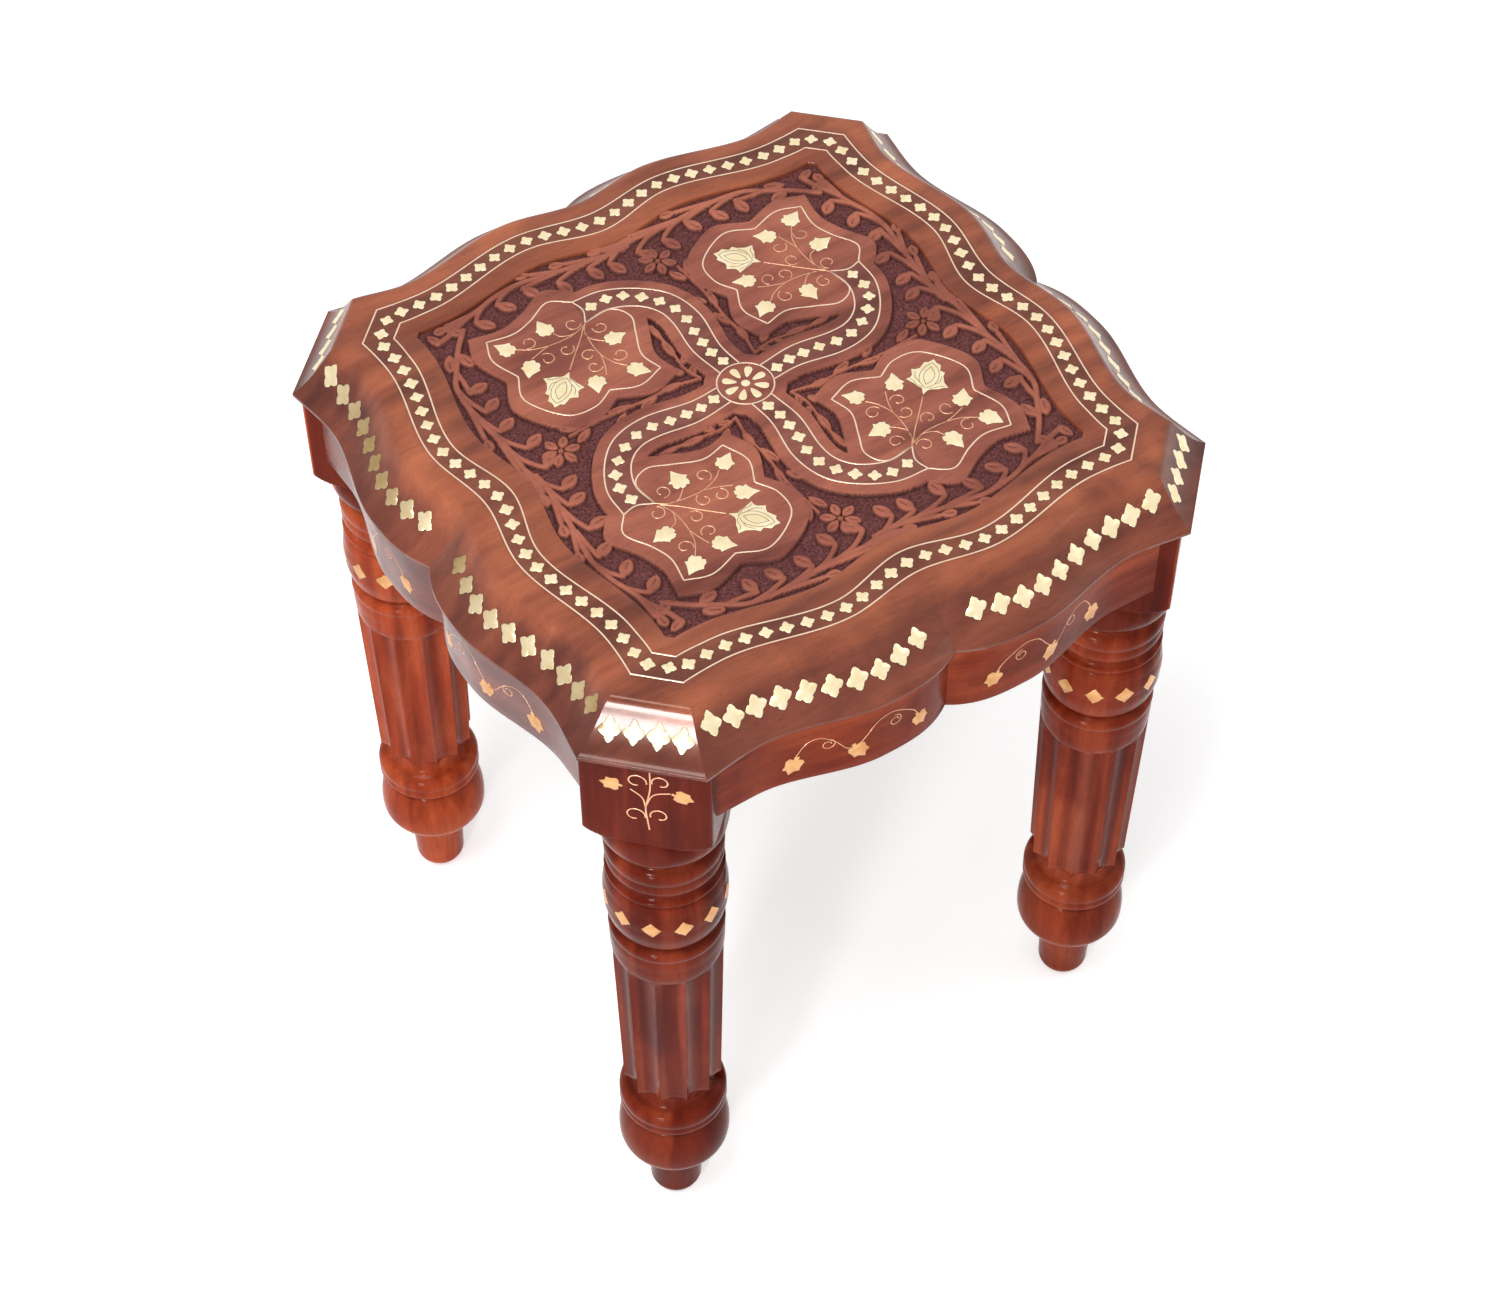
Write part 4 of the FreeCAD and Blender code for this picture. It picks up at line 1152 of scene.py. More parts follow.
@dataclass(frozen=True)
class Apron:
    """Lobed board between two legs, under the top, and its painted shade, heavier on the side aprons and in a
    painted shadow strip under the top.
    """

    height: float = 37.0
    inner: float = 128.0
    rounding: float = 1.6
    overlap: float = 2.5
    shadow_strip: float = 6.0
    front_shade: float = 0.50
    side_shade: float = 0.95
    strip_shade: float = 0.4

    def section(self) -> Array:
        """Closed section, down the outer face, round the foot and up the inner face.

        Returns:
            Share of the way out, inset and level of each point, one row each.
        """
        top, r = BOARD.under, self.rounding
        foot = top - self.height
        rows = [(1.0, 0.0, top), (1.0, 0.0, top - 2), (1.0, 0.0, top - 4)]
        rows += [(1.0, 0.0, z) for z in np.linspace(top - self.shadow_strip, foot + r, 8)]
        for turn in np.linspace(0.2, 1.0, 4) * math.pi / 2:
            rows.append((1.0, r * (math.cos(turn) - 1), foot + r * (1 - math.sin(turn))))
        rows += [(0.5, 0.0, foot), (0.0, r, foot), (0.0, r * 0.3, foot + r * 0.3)]
        return np.array([*rows, (0.0, 0.0, foot + r), (0.0, 0.0, top)])

    def build(self, quarter: int) -> Thing:
        """Make one apron: its section, swept along the side from block to block.

        Args:
            quarter: Which side, counted to the left from the front.

        Returns:
            The apron.
        """
        share, inset, level = self.section().T
        half = crowded(90)
        place = np.concatenate([-half[::-1], half[1:]])
        seat = LEG.block / math.sqrt(2)
        end_outer = float(APRON.reach(np.array(LEG.axis))) - seat + self.overlap
        end_inner = self.inner - seat + self.overlap
        end = end_inner + (end_outer - end_inner) * share
        along = place[:, None] * end[None, :]
        out = self.inner + (APRON.reach(along) - self.inner) * share[None, :] + inset[None, :]
        points = np.stack([along, -out, np.broadcast_to(level, along.shape)], -1)
        rows, columns = along.shape
        flat = quarter_turned(points.reshape(-1, 3), quarter)
        faces = sheet_faces(rows, columns, False, True)
        board = new_mesh("apron_board_" + SIDE_NAMES[quarter], flat, faces, crease=38.0)
        # Painted shade: darker on the side aprons, with a painted shadow strip just under the top.
        tone = self.side_shade if quarter % 2 else self.front_shade
        strip = smoothstep(level, BOARD.under - self.shadow_strip, BOARD.under - 1.0)
        paint(board, "shade", np.tile(tone + self.strip_shade * strip, rows))
        return board
# Faces that carry inlay. Each maps flat places and a lift to points in space.

BEVEL_LIFT = 1.5


def on_top(flat: Array, lift: Array) -> Array:
    """Places on the flat top.

    Args:
        flat: Plan x and y.
        lift: Height over the wood.

    Returns:
        Points.
    """
    return np.stack([flat[..., 0], flat[..., 1], BOARD.wood_top + lift], -1)


def on_bevel(flat: Array, lift: Array) -> Array:
    """Places on the front bevel.

    Args:
        flat: Distance along the side and out from the middle.
        lift: Height over the wood.

    Returns:
        Points.
    """
    along, out = flat[..., 0], flat[..., 1]
    level = BOARD.bevel_level(out, CREST.reach(along), LIP.reach(along)) + lift * BEVEL_LIFT
    return np.stack([along, -out, level], -1)


def on_chamfer(flat: Array, lift: Array) -> Array:
    """Places on the bevel of the front left corner.

    Args:
        flat: Distance across the corner and out along the diagonal.
        lift: Height over the wood.

    Returns:
        Points.
    """
    crest, lip = ((line.far + line.near) / math.sqrt(2) for line in (CREST, LIP))
    level = BOARD.bevel_level(flat[..., 1], crest, lip) + lift * BEVEL_LIFT
    across, out = flat[..., 0] / math.sqrt(2), flat[..., 1] / math.sqrt(2)
    return np.stack([across - out, -across - out, level], -1)


def on_apron(flat: Array, lift: Array) -> Array:
    """Places on the outer face of the front apron.

    Args:
        flat: Distance along the side and level.
        lift: Height over the wood.

    Returns:
        Points.
    """
    out = APRON.reach(flat[..., 0]) + lift
    return np.stack([flat[..., 0], -out, flat[..., 1]], -1)


def on_block(flat: Array, lift: Array) -> Array:
    """Places on the outward face of the front left block.

    Args:
        flat: Distance across the face, to the right, and level.
        lift: Height over the wood.

    Returns:
        Points.
    """
    axis_out = LEG.axis * math.sqrt(2)
    across, out = flat[..., 0] / math.sqrt(2), (axis_out + LEG.block / 2 + lift) / math.sqrt(2)
    return np.stack([across - out, -across - out, flat[..., 1]], -1)


def on_bulb(flat: Array, lift: Array) -> Array:
    """Places on the upper bulb of the front left leg.

    Args:
        flat: Distance round the bulb, measured at its band radius, and level.
        lift: Height over the wood.

    Returns:
        Points.
    """
    shape = LEG.samples(LEG.upper_profile)
    radius = np.interp(flat[..., 1], shape[:, 1], shape[:, 0]) + lift
    angle = flat[..., 0] / LEG.band_radius + CORNER_TURN
    return np.stack([radius * np.cos(angle) - LEG.axis, radius * np.sin(angle) - LEG.axis, flat[..., 1]], -1)

@dataclass
class Hand:
    """Repeatable small irregularities of handwork."""

    seed: int
    size_spread: float = 0.05

    def __post_init__(self) -> None:
        """Start the sequence."""
        self.random = np.random.default_rng(self.seed)

    def cut(self, outline: Array, wobble: float) -> Array:
        """Outline as a hand saw leaves it.

        Args:
            outline: Corner points.
            wobble: Largest shift of a corner.

        Returns:
            The shifted points.
        """
        size = 1 + self.random.uniform(-self.size_spread, self.size_spread)
        return outline * size + self.random.uniform(-wobble, wobble, outline.shape)

    def lean(self, most: float) -> float:
        """Small turn in degrees.

        Args:
            most: Largest turn.

        Returns:
            The turn.
        """
        return float(self.random.uniform(-most, most))


@dataclass(frozen=True)
class Spot:
    """Where a plate lies on its face."""

    x: float
    y: float
    angle: float = 0.0


def placed(outline: Array, spot: Spot) -> Array:
    """Outline turned and moved to a spot.

    Args:
        outline: Points about their own middle.
        spot: Place and turn.

    Returns:
        The moved points.
    """
    c, s = math.cos(math.radians(spot.angle)), math.sin(math.radians(spot.angle))
    u, v = outline[:, 0], outline[:, 1]
    return np.stack([spot.x + u * c - v * s, spot.y + u * s + v * c], 1)


def grown(outline: Array, by: float) -> Array:
    """Outline with its corners moved away from its middle.

    Args:
        outline: Corner points.
        by: Distance, negative for inwards, where a corner goes 0.4 of its way at most.

    Returns:
        The moved points.
    """
    middle = outline.mean(axis=0)
    reach = np.linalg.norm(outline - middle, axis=1, keepdims=True)
    return outline + (outline - middle) / reach * np.maximum(by, -0.4 * reach)


def circle(radius: float, count: int) -> Array:
    """Points round the middle of the table.

    Args:
        radius: Radius.
        count: Number of points.

    Returns:
        The points, the last one not repeated.
    """
    angle = np.linspace(0.0, 2 * math.pi, count, endpoint=False)
    return radius * np.stack([np.cos(angle), np.sin(angle)], 1)


# Outlines of the plates, about their own middle

BAND_DIAMOND = np.array([
    (4.3, 0.0), (3.2, 1.2), (2.15, 2.4), (1.1, 3.6), (0.0, 4.8), (-1.1, 3.6), (-2.15, 2.4), (-3.2, 1.2),
    (-4.3, 0.0), (-3.2, -1.2), (-2.15, -2.4), (-1.1, -3.6), (0.0, -4.8), (1.1, -3.6), (2.15, -2.4),
    (3.2, -1.2),
])
CHIP_QUARTER = np.array([
    (4.55, 0.0), (4.1, 0.75), (3.0, 1.75), (2.45, 1.75), (2.15, 2.15), (1.75, 2.45), (1.75, 3.0), (0.75, 4.1),
])
CHIP = np.concatenate([quarter_turned(CHIP_QUARTER, quarter) for quarter in QUARTERS])
LEAF = np.array([
    (5.3, 0.1), (3.0, 1.4), (1.3, 2.5), (0.4, 3.8), (-0.7, 3.1), (-2.3, 3.4), (-3.6, 2.4), (-3.4, 1.2),
    (-4.3, 0.6), (-4.2, -0.6), (-3.5, -1.2), (-3.7, -2.5), (-2.1, -3.2), (-0.6, -3.0), (0.3, -3.9),
    (1.4, -2.5), (3.1, -1.2),
])
TULIP = np.array([
    (4.4, 0.0), (2.6, 1.2), (2.3, 2.5), (0.4, 2.4), (-1.6, 2.7), (-2.9, 2.0), (-2.7, 0.6), (-4.1, 0.5),
    (-4.1, -0.5), (-2.7, -0.6), (-2.9, -2.0), (-1.6, -2.7), (0.4, -2.4), (2.3, -2.5), (2.6, -1.2),
])
LOTUS = np.array([
    (-10.4, 0.2), (-7.0, 1.4), (-6.3, 3.2), (-5.2, 5.0), (-3.4, 9.0), (-2.0, 7.6), (-0.5, 7.2), (2.8, 8.3),
    (3.3, 6.4), (4.3, 5.0), (8.3, 3.9), (8.6, 2.2), (10.9, 0.5), (9.0, -1.2), (8.2, -3.2), (5.0, -3.6),
    (4.3, -5.8), (2.2, -5.6), (0.2, -6.2), (-1.6, -6.9), (-3.9, -9.1), (-4.8, -6.8), (-5.9, -5.2),
    (-6.6, -2.6), (-7.4, -1.2),
])
PETAL = np.array([
    (3.5, 0.0), (4.4, 0.75), (6.4, 1.45), (8.2, 1.75), (9.5, 1.35), (9.95, 0.0),
    (9.5, -1.35), (8.2, -1.75), (6.4, -1.45), (4.4, -0.75),
])


@dataclass
class Plates:
    """Brass plates let into one kind of face, nearly flush, with soft edges.

    Rounds is the number of rings between a plate's edge and its middle, more on a curved face.
    Packed plates stand for the node of their name.
    """

    name: str
    face: FaceMap
    metal: Metal = Metal.BRASS
    packed: bool = True
    lift: float = 0.12
    soft: float = 0.18
    depth: float = 0.5
    rounds: int = 1
    outlines: list[Array] = field(default_factory=list)
    quarters: Sequence[int] = QUARTERS
    edge_share: float = 0.45
    bed_grow: float = 0.28
    bed_drop: float = 0.8

    def rings(self, outline: Array) -> tuple[Array, Array]:
        """Rings of one plate, from the middle of its bed, round its edge, to the middle of its face.

        Args:
            outline: Outer corners.

        Returns:
            Flat places and lifts, ring by ring.
        """
        middle = outline.mean(axis=0)
        soft = grown(outline, -self.soft)
        flat = [middle + 0 * outline, outline, outline, soft]
        flat += [middle + (soft - middle) * share for share in np.linspace(1.0, 0.0, self.rounds + 1)[1:]]
        lift = [-self.depth, -self.depth, self.lift * self.edge_share] + [self.lift] * (self.rounds + 1)
        return np.concatenate(flat), np.repeat(lift, len(outline))

    def mesh(self, name: str, grow: float, drop: float) -> Thing:
        """One mesh of all the plates.

        Args:
            name: Object name.
            grow: Distance to add round each plate.
            drop: Height to take off each plate.

        Returns:
            The mesh object.
        """
        sheets = []
        for quarter in self.quarters:
            for outline in self.outlines:
                flat, lift = self.rings(grown(outline, grow))
                points = quarter_turned(self.face(flat, lift - drop), quarter)
                sheets.append((points, sheet_faces(4 + self.rounds, len(outline), False, True)))
        return joined(name, sheets)

    def build(self) -> Thing:
        """Make the plates.

        Returns:
            The plates.
        """
        return self.mesh(self.name, 0.0, 0.0)

    def bed(self) -> Thing:
        """Make the dark filler that shows as a thin line round each plate.

        Returns:
            The filler.
        """
        return self.mesh(self.name.replace("brass", "filler"), self.bed_grow, self.lift * self.bed_drop)


@dataclass
class Wires:
    """Brass wires let into one kind of face, with a slightly rounded back.

    The section is given as shares of the width across, and the edges rise to a share of the lift.
    """

    name: str
    face: FaceMap
    metal: Metal = Metal.WIRE
    nodes: Sequence[str] = ()
    width: float = 0.62
    lift: float = 0.12
    depth: float = 0.35
    runs: list[Array] = field(default_factory=list)
    closed: bool = False
    quarters: Sequence[int] = QUARTERS
    section: tuple[float, ...] = (-0.5, -0.5, -0.28, 0.28, 0.5, 0.5)
    edge_share: float = 0.35

    def sheet(self, path: Array) -> tuple[Array, Array]:
        """Tube of one wire. An open wire closes to a point at both ends.

        Args:
            path: Points along the wire.

        Returns:
            Points and faces.
        """
        if self.closed:
            run = np.roll(path, -1, axis=0) - np.roll(path, 1, axis=0)
        else:
            run = np.gradient(path, axis=0)
        run = run / (np.linalg.norm(run, axis=1, keepdims=True) + NO_LENGTH)
        side = np.stack([-run[:, 1], run[:, 0]], 1)
        edge, sides = self.edge_share * self.lift, len(self.section)
        up = np.array([-self.depth, edge, self.lift, self.lift, edge, -self.depth])
        across = np.array(self.section) * self.width
        flat = path[:, None, :] + side[:, None, :] * across[None, :, None]
        lift = np.broadcast_to(up, flat.shape[:2])
        if not self.closed:
            ends = (np.repeat(path[:1, None], sides, 1), np.repeat(path[-1:, None], sides, 1))
            flat = np.concatenate([ends[0], flat, ends[1]])
            low = np.full((1, sides), -self.depth / 2)
            lift = np.concatenate([low, lift, low])
        faces = sheet_faces(len(flat), sides, self.closed, True)
        return self.face(flat.reshape(-1, 2), lift.reshape(-1)), faces

    def build(self) -> Thing:
        """Make the wires.

        Returns:
            The wires.
        """
        sheets = []
        for quarter in self.quarters:
            for path in self.runs:
                points, faces = self.sheet(path)
                sheets.append((quarter_turned(points, quarter), faces))
        return joined(self.name, sheets)


def joined(name: str, sheets: Sequence[tuple[Array, Array]]) -> Thing:
    """One mesh of many closed sheets, each facing outwards.

    A sheet faces outwards when the volume that its faces enclose, the sum of
    a . (b x c) over its triangles, is positive.

    Args:
        name: Object name.
        sheets: Points and faces of each sheet.

    Returns:
        The mesh object.
    """
    stacked, turned, first = [], [], 0
    for points, faces in sheets:
        local = points - points.mean(axis=0)
        a, b, c, d = (local[faces[:, k]] for k in range(4))
        volume = (a * np.cross(b, c)).sum() + (a * np.cross(c, d)).sum()
        turned.append((faces if volume > 0 else faces[:, ::-1]) + first)
        stacked.append(points)
        first += len(points)
    return welded(new_mesh(name, np.concatenate(stacked), np.concatenate(turned), crease=50.0))


@dataclass(frozen=True)
class DarkReflection:
    """Where and how much the chips of the left bevel are darkened, as a painted dark reflection."""

    bevel_x: float = -132.0
    corner_y: float = 115.0
    lobe_middle: float = 60.0
    half_lobe: float = 50.0
    front_darkness: float = 0.25

    def paint(self, thing: Thing) -> None:
        """Paint the share of painted dark reflection on every plate, which is 0 outside the left bevel.

        With d the distance from the middle of a lobe as a share of half its length, and a
        the front darkness, the share is a + (1 - a) d^2 on the front lobe and 1 - d^2 on the back one.

        Args:
            thing: Plates to paint.
        """
        place = np.empty(len(thing.data.vertices) * 3)
        thing.data.vertices.foreach_get("co", place)
        x, y, z = (place / METRES).reshape(-1, 3).T
        away = np.clip(np.abs(np.abs(y) - self.lobe_middle) / self.half_lobe, 0.0, 1.0)
        bevelled = (x < self.bevel_x) & (np.abs(y) < self.corner_y) & (z > BOARD.lip_top)
        front = self.front_darkness + (1 - self.front_darkness) * away**2
        paint(thing, "age", np.where(bevelled, np.where(y < 0.0, front, 1.0 - away**2), 0.0))


# Brass inlay


@dataclass(frozen=True)
class Inlay:
    """All the brass of the table, laid out in design millimetres."""

    hand: Hand = field(default_factory=lambda: Hand(7))
    border_count: int = 108
    border_size: float = 0.69
    arm_size: float = 0.66
    leaf_size: float = 1.1
    chip_start: float = 14.0
    chip_pitch: float = 10.15
    chips_per_lobe: int = 10
    chip_corner_reach: float = 181.0
    chip_corner_pitch: float = 9.6
    chip_slope: float = 0.72
    chip_lift: float = 0.16
    rosette_radius: float = 12.0
    rosette_turn: float = 4.0
    rosette_dot: float = 1.9
    band_count: int = 12
    leaf_spots: tuple[Spot, ...] = (
        Spot(-52.5, -31.3, 92.0), Spot(-31.2, -33.0, 38.0), Spot(-33.3, -51.6, -28.0),
        Spot(-55.8, -70.2, -42.0), Spot(-71.4, -73.4, 212.0), Spot(-73.2, -53.6, 186.0),
    )
    lotus_spot: Spot = Spot(-38.6, -65.6, -48.0)
    lotus_petals: tuple[Route, ...] = (
        ((-6.6, 0.2), (-3.2, 3.4), (1.5, 4.1), (6.0, 2.6), (8.6, 0.4)),
        ((-6.6, 0.2), (-3.6, -3.0), (1.0, -3.9), (5.6, -2.6), (8.6, 0.4)),
        ((-4.4, 0.3), (-1.6, 1.9), (2.2, 2.3), (6.2, 0.6)),
        ((-4.4, 0.3), (-1.8, -1.5), (2.0, -2.0), (6.2, 0.6)),
        ((-6.4, 1.2), (-5.4, 4.0), (-3.5, 6.0), (-2.9, 7.6)),
        ((-3.6, 3.2), (-1.4, 5.6), (1.8, 6.3)),
        ((-6.4, -1.2), (-5.6, -3.4), (-4.2, -5.2), (-3.7, -7.4)),
        ((-3.4, -3.2), (-1.8, -4.8), (1.8, -5.0)),
    )
    stems: tuple[Route, ...] = (
        ((-67.1, -37.0), (-63.0, -39.9), (-58.0, -40.3), (-53.2, -36.0)),
        ((-63.0, -39.9), (-55.0, -41.4), (-47.0, -41.4), (-40.0, -39.0), (-35.8, -35.6)),
        ((-47.0, -41.5), (-41.0, -43.2), (-35.6, -45.6)),
        ((-66.0, -38.4), (-60.0, -43.5), (-54.0, -49.5), (-46.3, -57.0)),
        ((-66.0, -38.4), (-63.5, -45.0), (-63.0, -52.0), (-63.1, -58.0), (-60.4, -67.0)),
        ((-63.1, -56.0), (-65.0, -63.5), (-69.0, -70.0)),
        ((-65.4, -40.0), (-63.8, -45.0), (-65.6, -50.0), (-69.0, -51.8)),
    )
    curls: tuple[Scroll, ...] = (
        ((-61.4, -33.2), 3.5, 250.0, 330.0), ((-69.3, -42.1), 3.7, 60.0, -320.0),
        ((-42.9, -34.6), 3.7, 280.0, 330.0), ((-49.5, -46.0), 3.5, 105.0, 310.0),
        ((-42.4, -47.3), 3.4, 60.0, -310.0), ((-57.4, -52.0), 3.5, 100.0, -320.0),
        ((-56.9, -61.4), 3.6, 190.0, -310.0), ((-69.6, -63.4), 3.6, -40.0, 310.0),
    )
    apron_leaf_spots: tuple[Spot, ...] = (
        Spot(-73.0, 321.5, -112.0), Spot(-46.9, 321.5, -62.0), Spot(-18.0, 323.0, -64.0),
        Spot(18.0, 323.0, -116.0), Spot(46.9, 321.5, -118.0), Spot(73.0, 321.5, -68.0),
    )
    apron_stems: tuple[Route, ...] = (
        ((-72.4, 325.6), (-67.9, 332.8), (-62.7, 334.5), (-56.7, 330.7), (-51.9, 324.6), (-48.6, 324.4)),
        ((-46.4, 325.0), (-43.4, 329.0), (-38.5, 335.2), (-31.4, 336.6), (-22.7, 331.4), (-19.4, 326.8)),
    )
    apron_curls: tuple[Scroll, ...] = (
        ((-59.3, 329.6), 3.0, 75.0, -430.0), ((-30.7, 330.6), 3.1, 95.0, -450.0),
    )
    sprig_spots: tuple[Spot, ...] = (Spot(-13.4, 332.4, 174.0), Spot(15.0, 330.4, -14.0))
    sprig_stems: tuple[Route, ...] = (
        ((1.3, 306.4), (0.6, 313.0), (0.1, 320.0), (1.3, 327.0), (2.2, 333.5), (2.2, 343.0)),
        ((0.1, 320.5), (-1.2, 326.5), (-5.8, 330.8)),
        ((0.2, 321.5), (3.4, 329.0), (10.2, 331.8)),
    )
    sprig_curls: tuple[Scroll, ...] = (
        ((-3.3, 336.2), 4.2, -12.0, 300.0), ((6.6, 337.4), 3.8, 200.0, -300.0),
        ((-4.4, 314.8), 4.3, -12.0, 300.0), ((5.6, 316.2), 3.9, 200.0, -300.0),
    )

    def wires(self) -> list[Wires]:
        """Lay the wires, the hair-thin stems and the lines engraved on the flowers.

        Returns:
            Every group of wires.
        """
        whole = {"closed": True, "quarters": (0,)}
        made = []
        for outline, name in ((OUTER_WIRE, "outer"), (INNER_WIRE, "inner")):
            node = "brass_border_wire_" + name
            made.append(Wires("wire_" + node, on_top, nodes=[node], runs=[outline.loop()], **whole))
        arms = [curve_through(ARM_OUTER, 10), curve_through(ARM_INNER, 10)]
        lobes = [curve_through(lobe, 10) for lobe in CARTOUCHE_LOBES]
        ring = circle(self.rosette_radius, 96)
        stems = [curve_through(stem, 7) for stem in self.stems] + [curl(*place) for place in self.curls]
        vines = [curve_through(stem, 7) for stem in self.apron_stems]
        vines += [curl(*place) for place in self.apron_curls]
        vines += [path * (-1.0, 1.0) for path in vines]
        sprig = [curve_through(stem, 7) for stem in self.sprig_stems]
        sprig += [curl(*place, shrink=0.55) for place in self.sprig_curls]
        lines = [placed(curve_through(petal, 5), self.lotus_spot) for petal in self.lotus_petals]
        return made + [
            Wires("wire_brass_arm", on_top, nodes=["brass_arm_wires"], runs=arms),
            Wires("wire_brass_cartouche", on_top, nodes=["brass_cartouche_wires"], runs=lobes),
            Wires("wire_brass_rosette", on_top, nodes=["brass_rosette_ring"], runs=[ring], **whole),
            Wires("wire_stems", on_top, Metal.STEM, width=0.46, lift=0.10, runs=stems),
            Wires("wire_apron_stems", on_apron, Metal.STEM, width=0.32, lift=0.08, runs=vines),
            Wires("wire_sprigs", on_block, Metal.STEM, width=0.6, runs=sprig),
            Wires("engraved_lotus_lines", on_top, Metal.FILLER, (), 0.34, 0.145, 0.05, lines),
        ]

    def plates(self) -> list[Plates]:
        """Cut and lay the plates, in the order in which the hand draws its irregularities.

        Returns:
            Every group of plates.
        """
        whole, brass, side = {"quarters": (0,)}, Metal.BRASS, Metal.SIDE_BRASS
        lotus = [placed(LOTUS, self.lotus_spot)]
        tulips, leaves, sprigs = self.tulips, self.apron_leaf_spots, self.sprig_spots
        border, arms, cut_leaves = self.border_diamonds(), self.arm_diamonds(), self.cartouche_leaves()
        chips, corners = self.bevel_chips(), self.corner_chips()
        return [
            Plates("brass_border_diamonds", on_top, outlines=border, **whole),
            Plates("brass_arm_diamonds", on_top, outlines=arms, **whole),
            Plates("brass_cartouche_leaves", on_top, outlines=cut_leaves, **whole),
            Plates("brass_lotus_flowers", on_top, outlines=lotus),
            Plates("brass_rosette_petals", on_top, outlines=self.rosette(), **whole),
            Plates("brass_bevel_chips", on_bevel, brass, True, self.chip_lift, outlines=chips),
            Plates("brass_corner_chips", on_chamfer, brass, False, self.chip_lift, outlines=corners),
            Plates("brass_apron_leaves", on_apron, side, rounds=2, outlines=tulips((1.2, 1.4), 0.2, leaves)),
            Plates("brass_leg_diamonds", on_bulb, side, depth=0.8, rounds=5, outlines=self.leg_diamonds()),
            Plates("brass_sprig_leaves", on_block, side, outlines=tulips((1.08, 1.36), 0.25, sprigs)),
        ]

    def border_diamonds(self) -> list[Array]:
        """Diamonds at even steps between the border wires.

        Returns:
            Their outlines.
        """
        loop = DIAMOND_PATH.loop()
        ring = np.concatenate([loop, loop[:1]])
        run = np.concatenate([[0.0], np.cumsum(np.linalg.norm(np.diff(ring, axis=0), axis=1))])
        found = []
        for step in (np.arange(self.border_count) + 0.5) * run[-1] / self.border_count:
            here = [np.interp(step, run, ring[:, k]) for k in (0, 1)]
            ahead = [np.interp(step + 1.0, run, ring[:, k]) for k in (0, 1)]
            angle = math.degrees(math.atan2(ahead[1] - here[1], ahead[0] - here[0]))
            spot = Spot(here[0], here[1], angle + self.hand.lean(7.0))
            found.append(placed(self.hand.cut(CHIP * self.border_size, 0.1), spot))
        return found

    def arm_diamonds(self) -> list[Array]:
        """Diamonds along the arms.

        Returns:
            Their outlines.
        """
        path = np.array(ARM_DIAMONDS)
        run = np.gradient(path, axis=0)
        found = []
        for quarter in QUARTERS:
            for (x, y), (dx, dy) in zip(quarter_turned(path, quarter), quarter_turned(run, quarter)):
                angle = math.degrees(math.atan2(dy, dx)) + self.hand.lean(8.0)
                found.append(placed(self.hand.cut(CHIP * self.arm_size, 0.1), Spot(x, y, angle)))
        return found

    def cartouche_leaves(self) -> list[Array]:
        """Leaves in the cartouches.

        Returns:
            Their outlines.
        """
        found = []
        for quarter in QUARTERS:
            for spot in self.leaf_spots:
                x, y = quarter_turned(np.array([spot.x, spot.y]), quarter)
                angle = spot.angle + 90.0 * quarter + self.hand.lean(5.0)
                leaf = self.hand.cut(LEAF * self.leaf_size, 0.25)
                found.append(placed(leaf, Spot(float(x), float(y), angle)))
        return found

    def rosette(self) -> list[Array]:
        """Petals and dot of the rosette.

        Returns:
            Their outlines.
        """
        turns = np.arange(8) * 45.0 + self.rosette_turn
        return [placed(PETAL, Spot(0.0, 0.0, turn)) for turn in turns] + [circle(self.rosette_dot, 20)]

    def bevel_chips(self) -> list[Array]:
        """Notched chips along the bevel of a side.

        Returns:
            Their outlines.
        """
        found = []
        for step in range(self.chips_per_lobe):
            along = self.chip_start + step * self.chip_pitch
            for side in (-along, along):
                out = float(CHIP_PATH.reach(np.array(side)))
                slope = float(CHIP_PATH.reach(np.array(side + 1.0))) - out
                lean = math.degrees(math.atan(slope)) * 0.3 + self.hand.lean(5.0)
                chip = self.hand.cut(CHIP, 0.12) * (1.05, self.chip_slope)
                found.append(placed(chip, Spot(side, out, lean)))
        return found

    def corner_chips(self) -> list[Array]:
        """Notched chips across a corner.

        Returns:
            Their outlines.
        """
        found = []
        for step in (-1.5, -0.5, 0.5, 1.5):
            spot = Spot(step * self.chip_corner_pitch, self.chip_corner_reach, self.hand.lean(3.0))
            found.append(placed(self.hand.cut(CHIP, 0.12) * (1.0, self.chip_slope), spot))
        return found

    def tulips(self, size: Pair, wobble: float, spots: Sequence[Spot]) -> list[Array]:
        """Leaves of an apron or of a leg's block.

        Args:
            size: Factors of the leaf's length and width.
            wobble: Largest shift of a corner.
            spots: Where they lie.

        Returns:
            Their outlines.
        """
        return [placed(self.hand.cut(TULIP * size, wobble), spot) for spot in spots]

    def leg_diamonds(self) -> list[Array]:
        """Diamonds round the bulb of a leg.

        Returns:
            Their outlines.
        """
        found = []
        pitch = 2 * math.pi * LEG.band_radius / self.band_count
        for step in range(self.band_count):
            shape = self.hand.cut(BAND_DIAMOND, 0.25)
            found.append(placed(shape, Spot(step * pitch, LEG.band_level, self.hand.lean(5.0))))
        return found


# Materials

def dimmed(colour: Colour, share: float) -> Colour:
    """Colour times a share.

    Args:
        colour: Colour to dim or brighten.
        share: Share, above 1 to brighten.

    Returns:
        The new colour.
    """
    return tuple(share * part for part in colour)


